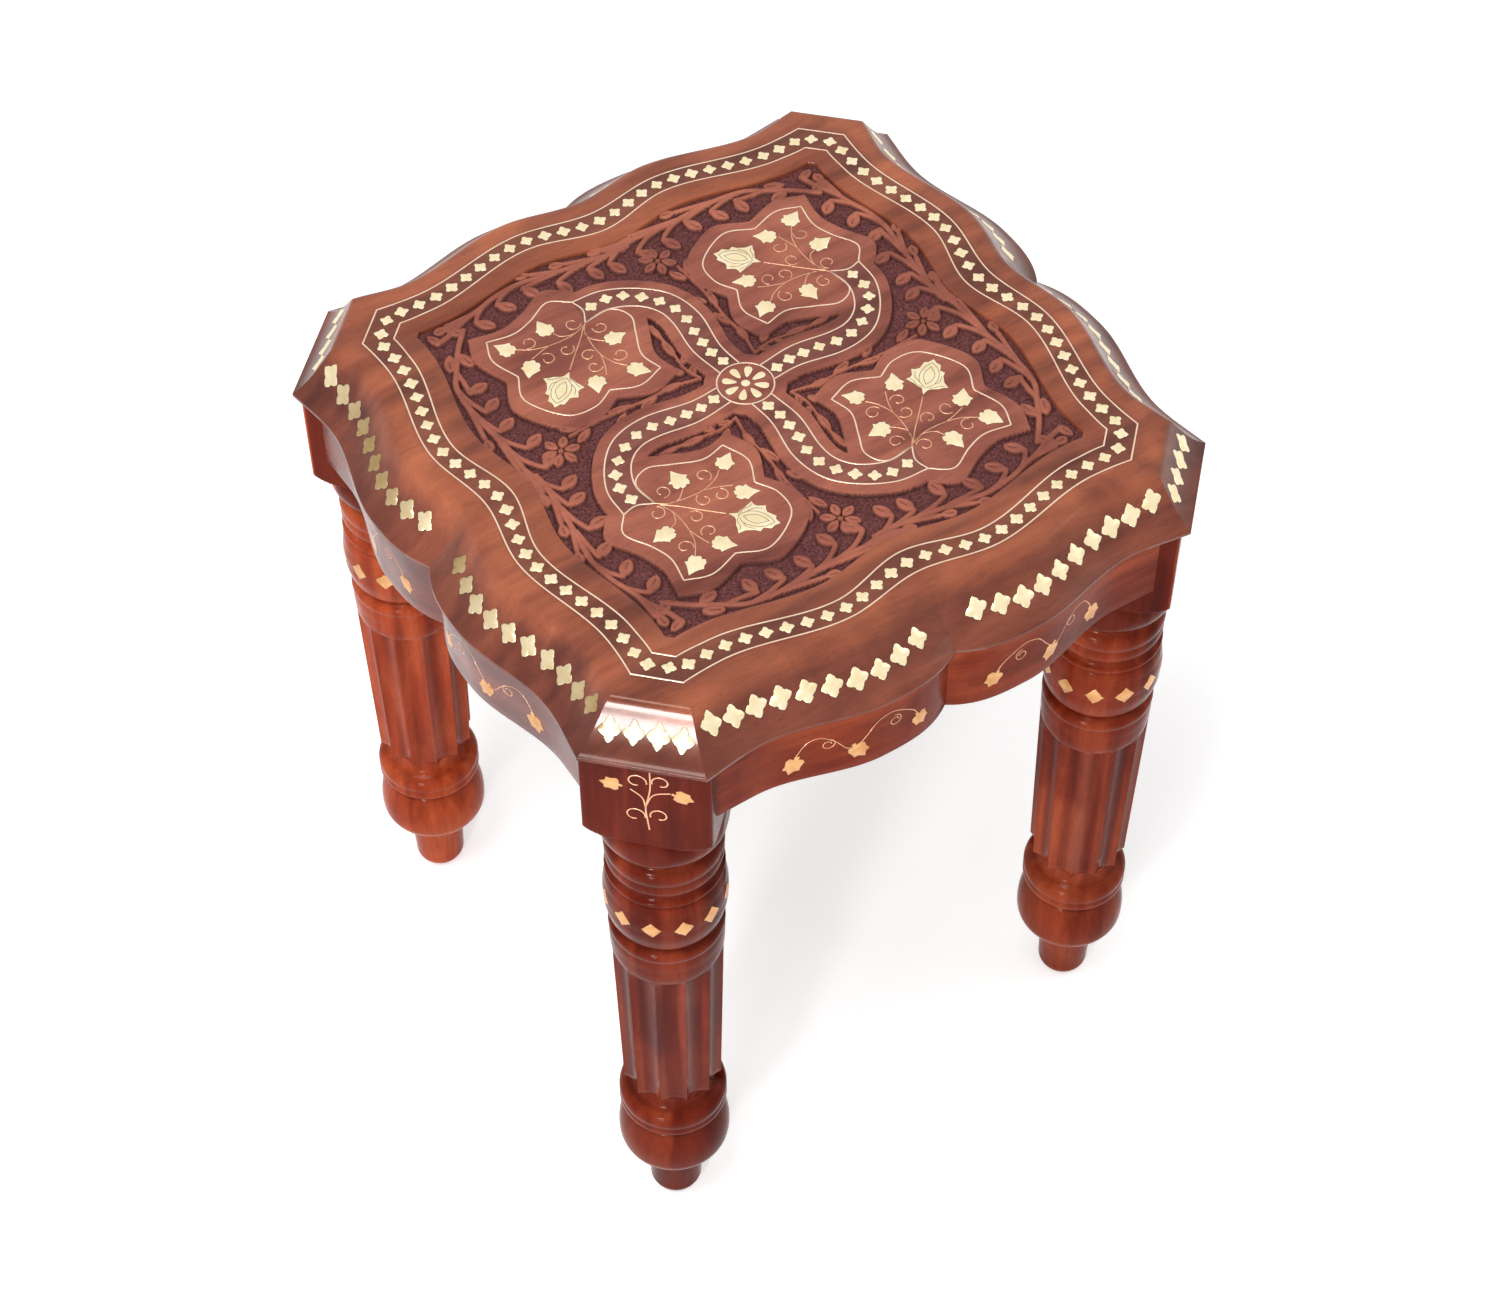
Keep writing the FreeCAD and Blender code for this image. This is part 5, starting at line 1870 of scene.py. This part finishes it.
class Nodes:
    """Shader nodes of one tree."""

    def __init__(self, tree: bpy.types.NodeTree) -> None:
        """Keep the tree.

        Args:
            tree: Tree of a material or of the surroundings.
        """
        self.tree = tree

    def node(self, kind: str, **values: object) -> bpy.types.Node:
        """Add a node.

        Args:
            kind: Node type.
            values: Properties, or values of sockets, by name with spaces as underscores.

        Returns:
            The node.
        """
        made = self.tree.nodes.new(kind)
        for key, value in values.items():
            socket = made.inputs.get(key.replace("_", " "))
            if socket is not None and not hasattr(made, key):
                socket.default_value = value
            else:
                setattr(made, key, value)
        return made

    def link(self, source: Socket, target: Socket) -> None:
        """Join two sockets.

        Args:
            source: Output socket.
            target: Input socket.
        """
        self.tree.links.new(source, target)

    def span(
        self, value: Socket, low: float, high: float, to_low: float = 0.0, to_high: float = 1.0
    ) -> Socket:
        """Map a range of values to another, clamped.

        Args:
            value: Value to map.
            low: Start of the range.
            high: End of the range.
            to_low: Value at the start.
            to_high: Value at the end.

        Returns:
            The mapped value.
        """
        made = self.node("ShaderNodeMapRange")
        for key, number in (("From Min", low), ("From Max", high), ("To Min", to_low), ("To Max", to_high)):
            made.inputs[key].default_value = number
        self.link(value, made.inputs["Value"])
        return made.outputs["Result"]

    def math(self, kind: str, a: Socket, b: Socket | float) -> Socket:
        """Arithmetic on two values.

        Args:
            kind: Operation.
            a: First value.
            b: Second value, a socket or a number.

        Returns:
            The result.
        """
        made = self.node("ShaderNodeMath", operation=kind)
        self.link(a, made.inputs[0])
        if isinstance(b, Socket):
            self.link(b, made.inputs[1])
        else:
            made.inputs[1].default_value = b
        return made.outputs[0]

    def seen(self) -> Socket:
        """Whether a ray comes straight from the camera, by a mirror or through glass.

        Returns:
            1 for such a ray, and 0 for light that dull faces scatter.
        """
        rays = self.node("ShaderNodeLightPath").outputs
        direct = self.math("MAXIMUM", rays["Is Camera Ray"], rays["Is Glossy Ray"])
        return self.math("MAXIMUM", direct, rays["Is Transmission Ray"])


class Graph(Nodes):
    """Nodes of one material."""

    def __init__(self, name: str) -> None:
        """Start an empty material.

        Args:
            name: Material name.
        """
        self.material = bpy.data.materials.new(name)
        self.material.use_nodes = True
        super().__init__(self.material.node_tree)
        self.tree.nodes.clear()
        self.output = self.node("ShaderNodeOutputMaterial")
        self.place = self.node("ShaderNodeTexCoord").outputs["Object"]

    def noise(
        self,
        scale: float | Sequence[float],
        detail: float = 5.0,
        roughness: float = 0.55,
        distortion: float = 0.0,
        turn: float = 0.0,
    ) -> Socket:
        """Noise with its own scale along each axis.

        Args:
            scale: Features in each metre, for all axes or along x, y and z.
            detail: Number of octaves.
            roughness: Strength of the finer octaves.
            distortion: How far the pattern is pulled about.
            turn: Turn about the upright axis, in degrees.

        Returns:
            Value between 0 and 1.
        """
        mapping = self.node("ShaderNodeMapping")
        mapping.inputs["Scale"].default_value = (scale,) * 3 if isinstance(scale, float) else scale
        mapping.inputs["Rotation"].default_value = (0.0, 0.0, math.radians(turn))
        self.link(self.place, mapping.inputs["Vector"])
        noise = self.node(
            "ShaderNodeTexNoise", Scale=1.0, Detail=detail, Roughness=roughness, Distortion=distortion
        )
        self.link(mapping.outputs["Vector"], noise.inputs["Vector"])
        return noise.outputs["Fac"]

    def ramp(self, value: Socket, stops: Sequence[tuple[float, Colour]]) -> Socket:
        """Colour ramp.

        Args:
            value: Value to map.
            stops: Places and colours.

        Returns:
            The colour.
        """
        made = self.node("ShaderNodeValToRGB")
        scale = made.color_ramp
        scale.elements[0].position, scale.elements[0].color = stops[0][0], (*stops[0][1], 1.0)
        scale.elements[1].position, scale.elements[1].color = stops[-1][0], (*stops[-1][1], 1.0)
        for position, colour in stops[1:-1]:
            scale.elements.new(position).color = (*colour, 1.0)
        self.link(value, made.inputs["Fac"])
        return made.outputs["Color"]

    def mix(self, factor: Socket, a: Socket, b: Socket | Colour, kind: str = "MIX") -> Socket:
        """Mix of two colours.

        Args:
            factor: Share of the second.
            a: First colour.
            b: Second colour, a socket or a constant.
            kind: How they mix.

        Returns:
            The colour.
        """
        made = self.node("ShaderNodeMix", data_type="RGBA", blend_type=kind)
        self.link(factor, made.inputs[0])
        self.link(a, made.inputs[6])
        if isinstance(b, Socket):
            self.link(b, made.inputs[7])
        else:
            made.inputs[7].default_value = (*b, 1.0)
        return made.outputs[2]

    def attribute(self, name: str) -> Socket:
        """Value painted on the vertices.

        Args:
            name: Attribute name.

        Returns:
            The value.
        """
        return self.node("ShaderNodeAttribute", attribute_name=name).outputs["Fac"]

    def bump(self, height: Socket, distance: float, strength: float, under: Socket | None = None) -> Socket:
        """Bump.

        Args:
            height: Height between 0 and 1.
            distance: Real height of the full range, in metres.
            strength: Strength.
            under: Normal to add it to.

        Returns:
            The normal.
        """
        made = self.node("ShaderNodeBump", Distance=distance, Strength=strength)
        self.link(height, made.inputs["Height"])
        if under is not None:
            self.link(under, made.inputs["Normal"])
        return made.outputs["Normal"]

    def surface(
        self, colour: Socket, rough: Socket, normal: Socket, **constants: float | tuple[float, ...]
    ) -> Material:
        """Finish the material with one shader.

        Args:
            colour: Base colour.
            rough: Roughness.
            normal: Normal.
            constants: Values for the shader's own sockets.

        Returns:
            The material.
        """
        shader = self.node("ShaderNodeBsdfPrincipled")
        for key, number in constants.items():
            shader.inputs[key.replace("_", " ")].default_value = number
        self.link(colour, shader.inputs["Base Color"])
        self.link(rough, shader.inputs["Roughness"])
        self.link(normal, shader.inputs["Normal"])
        self.link(shader.outputs["BSDF"], self.output.inputs["Surface"])
        return self.material


@dataclass(frozen=True)
class Wood:
    """Lacquered sheesham, with its four tones and the scale of its grain."""

    name: str
    dark: Colour
    middle: Colour
    light: Colour
    glow: Colour
    grain: Triple
    turn: float = 0.0
    figure: float = 13.0
    figure_share: float = 0.55
    painted: bool = False
    gloss: float = 0.20
    satin: Pair = (0.20, 0.34)
    coat: float = 0.0
    coat_rough: float = 0.08
    sheen_tint: Colour = (1.0, 0.62, 0.50)
    shaded: Colour = (0.40, 0.36, 0.46)
    stained: Colour = (0.70, 0.76, 0.88)
    stripes: float = 0.5

    def base(self, graph: Graph) -> tuple[Socket, Socket]:
        """Colour and pores of the plain wood.

        Args:
            graph: Nodes to add to.

        Returns:
            Colour, and the pores as 0 to 1.
        """
        gx, gy, gz = self.grain
        streak = graph.noise((gx * 0.6, gy * 0.5, gz * 0.6), 5.0, 0.5, 0.25, self.turn)
        fine = graph.noise((gx * 3, gy * 3, gz * 3), 4.0, 0.6, 0.0, self.turn)
        pore = graph.noise((gx * 9, gy * 16, gz * 9), 2.0, 0.5, 0.0, self.turn)
        cloud = graph.noise(self.figure, 3.0, 0.5, 1.4, self.turn)
        colour = graph.ramp(streak, ((0.30, self.dark), (0.50, self.middle), (0.70, self.light)))
        warm = graph.math("MULTIPLY", graph.span(cloud, 0.44, 0.66), self.figure_share)
        colour = graph.mix(warm, colour, self.glow)
        shade = graph.span(fine, 0.35, 0.70, 0.0, 0.28)
        colour = graph.mix(shade, colour, self.dark)
        pores = graph.span(pore, 0.62, 0.72)
        colour = graph.mix(graph.math("MULTIPLY", pores, 0.5), colour, dimmed(self.dark, 0.35))
        return self.darkened(graph, colour), pores

    def darkened(self, graph: Graph, colour: Socket) -> Socket:
        """Darken the wood where it is painted as shaded, and in broad soft stripes.

        Args:
            graph: Nodes to add to.
            colour: Colour of the plain wood.

        Returns:
            The darkened colour.
        """
        stripe = graph.noise(dimmed(self.grain, 0.2), 2.0, 0.5, 0.6, self.turn)
        striped = graph.span(stripe, 0.40, 0.66, -0.15, self.stripes)
        shade = graph.math("ADD", graph.attribute("shade"), striped)
        return graph.mix(shade, colour, self.shaded, "MULTIPLY")

    def waves(self, graph: Graph, pores: Socket, strength: float) -> Socket:
        """Gentle waves of a hand-scraped face, and its open pores.

        Args:
            graph: Nodes to add to.
            pores: Pores as 0 to 1.
            strength: Strength of both.

        Returns:
            The normal.
        """
        normal = graph.bump(graph.noise(34.0, 2.0, 0.4), 0.0004, strength)
        return graph.bump(pores, 0.00004, strength, normal)

    def build(self) -> Material:
        """Make the material.

        Returns:
            The material.
        """
        graph = Graph(self.name)
        colour, pores = self.base(graph)
        rough = graph.span(graph.noise(60.0, 3.0), 0.3, 0.7, *self.satin)
        if self.painted:
            colour = graph.mix(graph.attribute("stain"), colour, self.stained, "MULTIPLY")
        return self.lacquer(graph, colour, rough, self.waves(graph, pores, 0.35))

    def lacquer(self, graph: Graph, colour: Socket, rough: Socket, normal: Socket) -> Material:
        """Finish the material with the thin warm lacquer.

        Args:
            graph: Nodes to add to.
            colour: Base colour.
            rough: Roughness.
            normal: Normal.

        Returns:
            The material.
        """
        tint = (*self.sheen_tint, 1.0)
        return graph.surface(
            colour, rough, normal, Specular_IOR_Level=self.gloss, Specular_Tint=tint,
            Coat_Weight=self.coat, Coat_Roughness=self.coat_rough,
        )


@dataclass(frozen=True)
class CarvedWood(Wood):
    """Sheesham with a stippled, darkened ground between its carvings."""

    ground: Colour = (0.125, 0.042, 0.042)

    def build(self) -> Material:
        """Make the material.

        Returns:
            The material.
        """
        graph = Graph(self.name)
        colour, pores = self.base(graph)
        ground, carving = graph.attribute("ground"), graph.attribute("carving")
        stipple = graph.noise(900.0, 3.0, 0.7)
        soil = graph.ramp(stipple, ((0.35, dimmed(self.ground, 0.45)), (0.70, dimmed(self.ground, 1.8))))
        # Painted shade, with dirt, in corners and at the foot of the walls.
        corner_shade = graph.math("MULTIPLY", graph.attribute("cavity_shade"), 0.9)
        colour = graph.mix(graph.attribute("stain"), colour, self.stained, "MULTIPLY")
        colour = graph.mix(graph.math("MULTIPLY", carving, 0.12), colour, self.glow)
        colour = graph.mix(ground, colour, soil)
        colour = graph.mix(corner_shade, colour, dimmed(self.ground, 0.22))
        rough_ground = graph.span(ground, 0.0, 1.0, 0.30, 0.85)
        rough = graph.math("MAXIMUM", rough_ground, graph.span(carving, 0.0, 1.0, 0.28, 0.46))
        pits = graph.math("MULTIPLY", stipple, ground)
        normal = graph.bump(pits, 0.0007, 0.8, self.waves(graph, pores, 0.3))
        return self.lacquer(graph, colour, rough, normal)


@dataclass(frozen=True)
class Brass:
    """Sheet brass, filed flush and worn dull."""

    name: str
    pale: Colour
    deep: Colour
    satin: Pair = (0.26, 0.42)
    reflected_tone: Colour = (0.44, 0.35, 0.22)

    def build(self) -> Material:
        """Make the material.

        Returns:
            The material.
        """
        graph = Graph(self.name)
        cloud = graph.noise(160.0, 4.0, 0.6)
        file = graph.noise((420.0, 5200.0, 900.0), 3.0, 0.6, 0.0, 28.0)
        colour = graph.ramp(cloud, ((0.35, self.deep), (0.62, self.pale)))
        # Painted dark reflection where the plates are marked for it.
        colour = graph.mix(graph.attribute("age"), colour, self.reflected_tone, "MULTIPLY")
        rough = graph.span(file, 0.3, 0.7, *self.satin)
        normal = graph.bump(file, 0.00002, 0.5)
        normal = graph.bump(cloud, 0.0001, 0.35, normal)
        return graph.surface(colour, rough, normal, Metallic=1.0)


@dataclass(frozen=True)
class Filler:
    """Dark mastic round the brass and in the engraved lines."""

    name: str
    tone: Colour = (0.020, 0.008, 0.006)

    def build(self) -> Material:
        """Make the material.

        Returns:
            The material.
        """
        graph = Graph(self.name)
        grit = graph.noise(1500.0, 3.0, 0.6)
        colour = graph.ramp(grit, ((0.35, dimmed(self.tone, 0.5)), (0.7, dimmed(self.tone, 2.2))))
        rough = graph.span(grit, 0.3, 0.7, 0.45, 0.70)
        return graph.surface(colour, rough, graph.bump(grit, 0.00005, 0.4))


class Finishes:
    """All the materials of the table."""

    def __init__(self) -> None:
        """Make every material once."""
        along = (26.0, 210.0, 120.0)
        self.top = Wood(
            "lacquered_top", dark=(0.190, 0.048, 0.026), middle=(0.322, 0.086, 0.041),
            light=(0.44, 0.126, 0.059), glow=(0.60, 0.180, 0.080), grain=along, turn=14.0, painted=True,
            coat=0.22,
        ).build()
        self.field = CarvedWood(
            "carved_top", dark=(0.190, 0.056, 0.040), middle=(0.300, 0.092, 0.064),
            light=(0.40, 0.132, 0.088), glow=(0.54, 0.180, 0.105), grain=along, turn=14.0, figure_share=0.6,
        ).build()
        apron = Wood(
            "apron_front_back", dark=(0.200, 0.026, 0.009), middle=(0.335, 0.047, 0.015),
            light=(0.46, 0.085, 0.031), glow=(0.60, 0.135, 0.052), grain=(22.0, 160.0, 240.0),
            shaded=(0.29, 0.17, 0.18), stripes=0.35, gloss=0.03, sheen_tint=(1.0, 0.45, 0.30), coat=0.09,
            coat_rough=0.13,
        )
        self.apron_along = apron.build()
        self.apron_across = replace(
            apron, name="apron_sides", grain=(160.0, 22.0, 240.0), gloss=0.60, sheen_tint=(0.92, 0.98, 1.0),
            coat=0.0, coat_rough=0.08,
        ).build()
        self.leg = replace(
            apron, name="lacquered_leg", grain=(230.0, 230.0, 20.0), figure_share=0.45, satin=(0.13, 0.24),
        ).build()
        self.inlay = {
            Metal.BRASS: Brass(Metal.BRASS.value, (0.97, 0.84, 0.57), (0.90, 0.73, 0.44)).build(),
            Metal.SIDE_BRASS: Brass(Metal.SIDE_BRASS.value, (0.68, 0.37, 0.16), (0.52, 0.24, 0.085)).build(),
            Metal.WIRE: Brass(Metal.WIRE.value, (0.94, 0.74, 0.56), (0.84, 0.60, 0.44), (0.22, 0.36)).build(),
            Metal.STEM: Brass(Metal.STEM.value, (0.80, 0.46, 0.28), (0.62, 0.32, 0.18), (0.25, 0.40)).build(),
            Metal.FILLER: Filler(Metal.FILLER.value).build(),
        }


# The whole table


class Table:
    """Every visible piece of the table."""

    def __init__(self, finishes: Finishes, inlay: Inlay) -> None:
        """Keep the finishes and the layout of the brass.

        Args:
            finishes: Materials to use.
            inlay: Layout of the brass.
        """
        self.finishes = finishes
        self.inlay = inlay

    def board(self) -> None:
        """Make the top board."""
        rim, underside = TopRim().build()
        paint(underside, "shade", np.full(len(underside.data.vertices), 0.6))
        finish_piece(rim, Slot.TOP, self.finishes.top, ["top_board"])
        finish_piece(underside, Slot.TOP, self.finishes.top, [])
        for quarter in CarvedField().build():
            finish_piece(quarter, Slot.TOP, self.finishes.field, [])

    def aprons(self) -> None:
        """Make the aprons."""
        for quarter, side in enumerate(SIDE_NAMES):
            material = self.finishes.apron_across if quarter % 2 else self.finishes.apron_along
            finish_piece(Apron().build(quarter), Slot.APRON, material, ["apron_" + side])

    def legs(self) -> None:
        """Make the legs."""
        for quarter, corner in enumerate(CORNER_NAMES):
            pieces = (LEG.build_turned(quarter), LEG.build_block(quarter))
            for piece, nodes in zip(pieces, (["leg_" + corner], [])):
                finish_piece(piece, Slot.LEG, self.finishes.leg, nodes)

    def wires(self) -> None:
        """Make the wires, the stems and the engraved lines."""
        for wires in self.inlay.wires():
            finish_piece(wires.build(), Slot.BRASS, self.finishes.inlay[wires.metal], wires.nodes)

    def plates(self) -> None:
        """Make the plates, each with its line of filler."""
        for plates in self.inlay.plates():
            shown = plates.build()
            shown.name = "inlay_" + plates.name
            # Painted dark reflection on the chips of the left bevel.
            DarkReflection().paint(shown)
            nodes = [plates.name] if plates.packed else []
            finish_piece(shown, Slot.BRASS, self.finishes.inlay[plates.metal], nodes)
            finish_piece(plates.bed(), Slot.TOP, self.finishes.inlay[Metal.FILLER], [])


# Studio


def set_up(thing: Thing, right: Triple, up: Triple, back: Triple, spot: Triple) -> None:
    """Set a lamp or a camera in its place and link it.

    Args:
        thing: Lamp or camera, which looks away from its backward direction.
        right: Its direction to the right.
        up: Its upward direction.
        back: Its backward direction.
        spot: Its place in metres.
    """
    rows = [[right[k], up[k], back[k], spot[k]] for k in range(3)]
    thing.matrix_world = Matrix([*rows, [0.0, 0.0, 0.0, 1.0]])
    bpy.context.scene.collection.objects.link(thing)


@dataclass(frozen=True)
class Softbox:
    """Large soft lamp aimed at the table."""

    name: str
    azimuth: float
    elevation: float
    distance: float
    width: float
    height: float
    power: float
    aim_level: float = 0.25

    def build(self) -> None:
        """Hang the lamp.

        Its place is the distance along its azimuth and elevation from the table's middle.
        Azimuth 0 is in front of the table and turns to the right.
        """
        lamp = bpy.data.lights.new(self.name, "AREA")
        lamp.shape = "RECTANGLE"
        lamp.size, lamp.size_y = self.width, self.height
        lamp.energy = self.power
        turn, rise = math.radians(self.azimuth), math.radians(self.elevation)
        back = np.array([math.sin(turn) * math.cos(rise), -math.cos(turn) * math.cos(rise), math.sin(rise)])
        right = np.cross((0.0, 0.0, 1.0), back)
        right /= np.linalg.norm(right)
        spot = np.array([0.0, 0.0, self.aim_level]) + back * self.distance
        set_up(bpy.data.objects.new(self.name, lamp), right, np.cross(back, right), back, spot)


@dataclass(frozen=True)
class PhotoCamera:
    """Camera of the photograph, from a fit to it: focal length, directions and place."""

    name: str = "photo_camera"
    sensor: float = 36.0
    focal: float = 74.372
    clip: Pair = (0.01, 50.0)
    right: Triple = (0.83872879, -0.54454834, -0.00105727)
    up: Triple = (0.41802096, 0.64260102, 0.64212336)
    back: Triple = (-0.34898781, -0.53900931, 0.7666006)
    spot: Triple = (-493.15, -764.69, 1280.05)

    def build(self) -> None:
        """Set the camera where the photograph was taken from."""
        lens = bpy.data.cameras.new(self.name)
        lens.sensor_width = self.sensor
        lens.sensor_fit = "HORIZONTAL"
        lens.lens = self.focal
        lens.clip_start, lens.clip_end = self.clip
        thing = bpy.data.objects.new(self.name, lens)
        set_up(thing, self.right, self.up, self.back, tuple(METRES * value for value in self.spot))
        bpy.context.scene.camera = thing


@dataclass(frozen=True)
class Studio:
    """Pale floor, white surroundings, soft lamps and the camera."""

    softboxes: tuple[Softbox, ...] = (
        Softbox("key_overhead", 292.0, 68.0, 2.2, 0.9, 0.8, 27.0),
        Softbox("corner_gleam", 306.5, 18.0, 1.5, 0.16, 0.14, 6.5),
        Softbox("low_gleam", 309.0, 1.5, 1.5, 0.12, 0.14, 4.0),
        Softbox("fill_right", 70.0, 32.0, 2.2, 1.2, 1.2, 5.0),
    )
    half_floor: float = 6000.0
    floor_glow: float = 0.45
    daylight: float = 0.50

    def floor(self) -> None:
        """Lay the floor: a wide sheet whose colour shows white but keeps the shadow."""
        half = self.half_floor
        corners = np.array([(-half, -half, 0.0), (half, -half, 0.0), (half, half, 0.0), (-half, half, 0.0)])
        thing = new_mesh("floor", corners, np.array([[0, 1, 2, 3]]))
        graph = Graph("studio_floor")
        speckle = graph.noise(7.0, 2.0)
        colour = graph.ramp(speckle, ((0.3, (0.88, 0.88, 0.88)), (0.7, (0.92, 0.92, 0.92))))
        shader = graph.node("ShaderNodeBsdfDiffuse")
        graph.link(colour, shader.inputs["Color"])
        glow = graph.node("ShaderNodeEmission", Color=(1.0, 1.0, 1.0, 1.0))
        graph.link(graph.math("MULTIPLY", graph.seen(), self.floor_glow), glow.inputs["Strength"])
        both = graph.node("ShaderNodeAddShader")
        graph.link(shader.outputs[0], both.inputs[0])
        graph.link(glow.outputs[0], both.inputs[1])
        graph.link(both.outputs[0], graph.output.inputs["Surface"])
        thing.data.materials.append(graph.material)

    def surroundings(self) -> None:
        """Set white surroundings that look whiter than the even light they give."""
        world = bpy.data.worlds.new("white_studio")
        bpy.context.scene.world = world
        world.use_nodes = True
        nodes = Nodes(world.node_tree)
        back = nodes.tree.nodes["Background"]
        back.inputs["Color"].default_value = (1.0, 1.0, 1.0, 1.0)
        strength = nodes.span(nodes.seen(), 0.0, 1.0, self.daylight, 1.0)
        nodes.link(strength, back.inputs["Strength"])

    def build(self) -> None:
        """Set up the studio."""
        self.floor()
        self.surroundings()
        for softbox in self.softboxes:
            softbox.build()
        PhotoCamera().build()
        bpy.context.scene.view_settings.view_transform = "Standard"


def main() -> None:
    """Build the table and its studio in order."""
    logging.basicConfig(level=logging.INFO, format="%(message)s")
    table = Table(Finishes(), Inlay())
    for part in (table.board, table.aprons, table.legs, table.wires, table.plates):
        part()
    Studio().build()


if __name__ == "__main__":
    main()
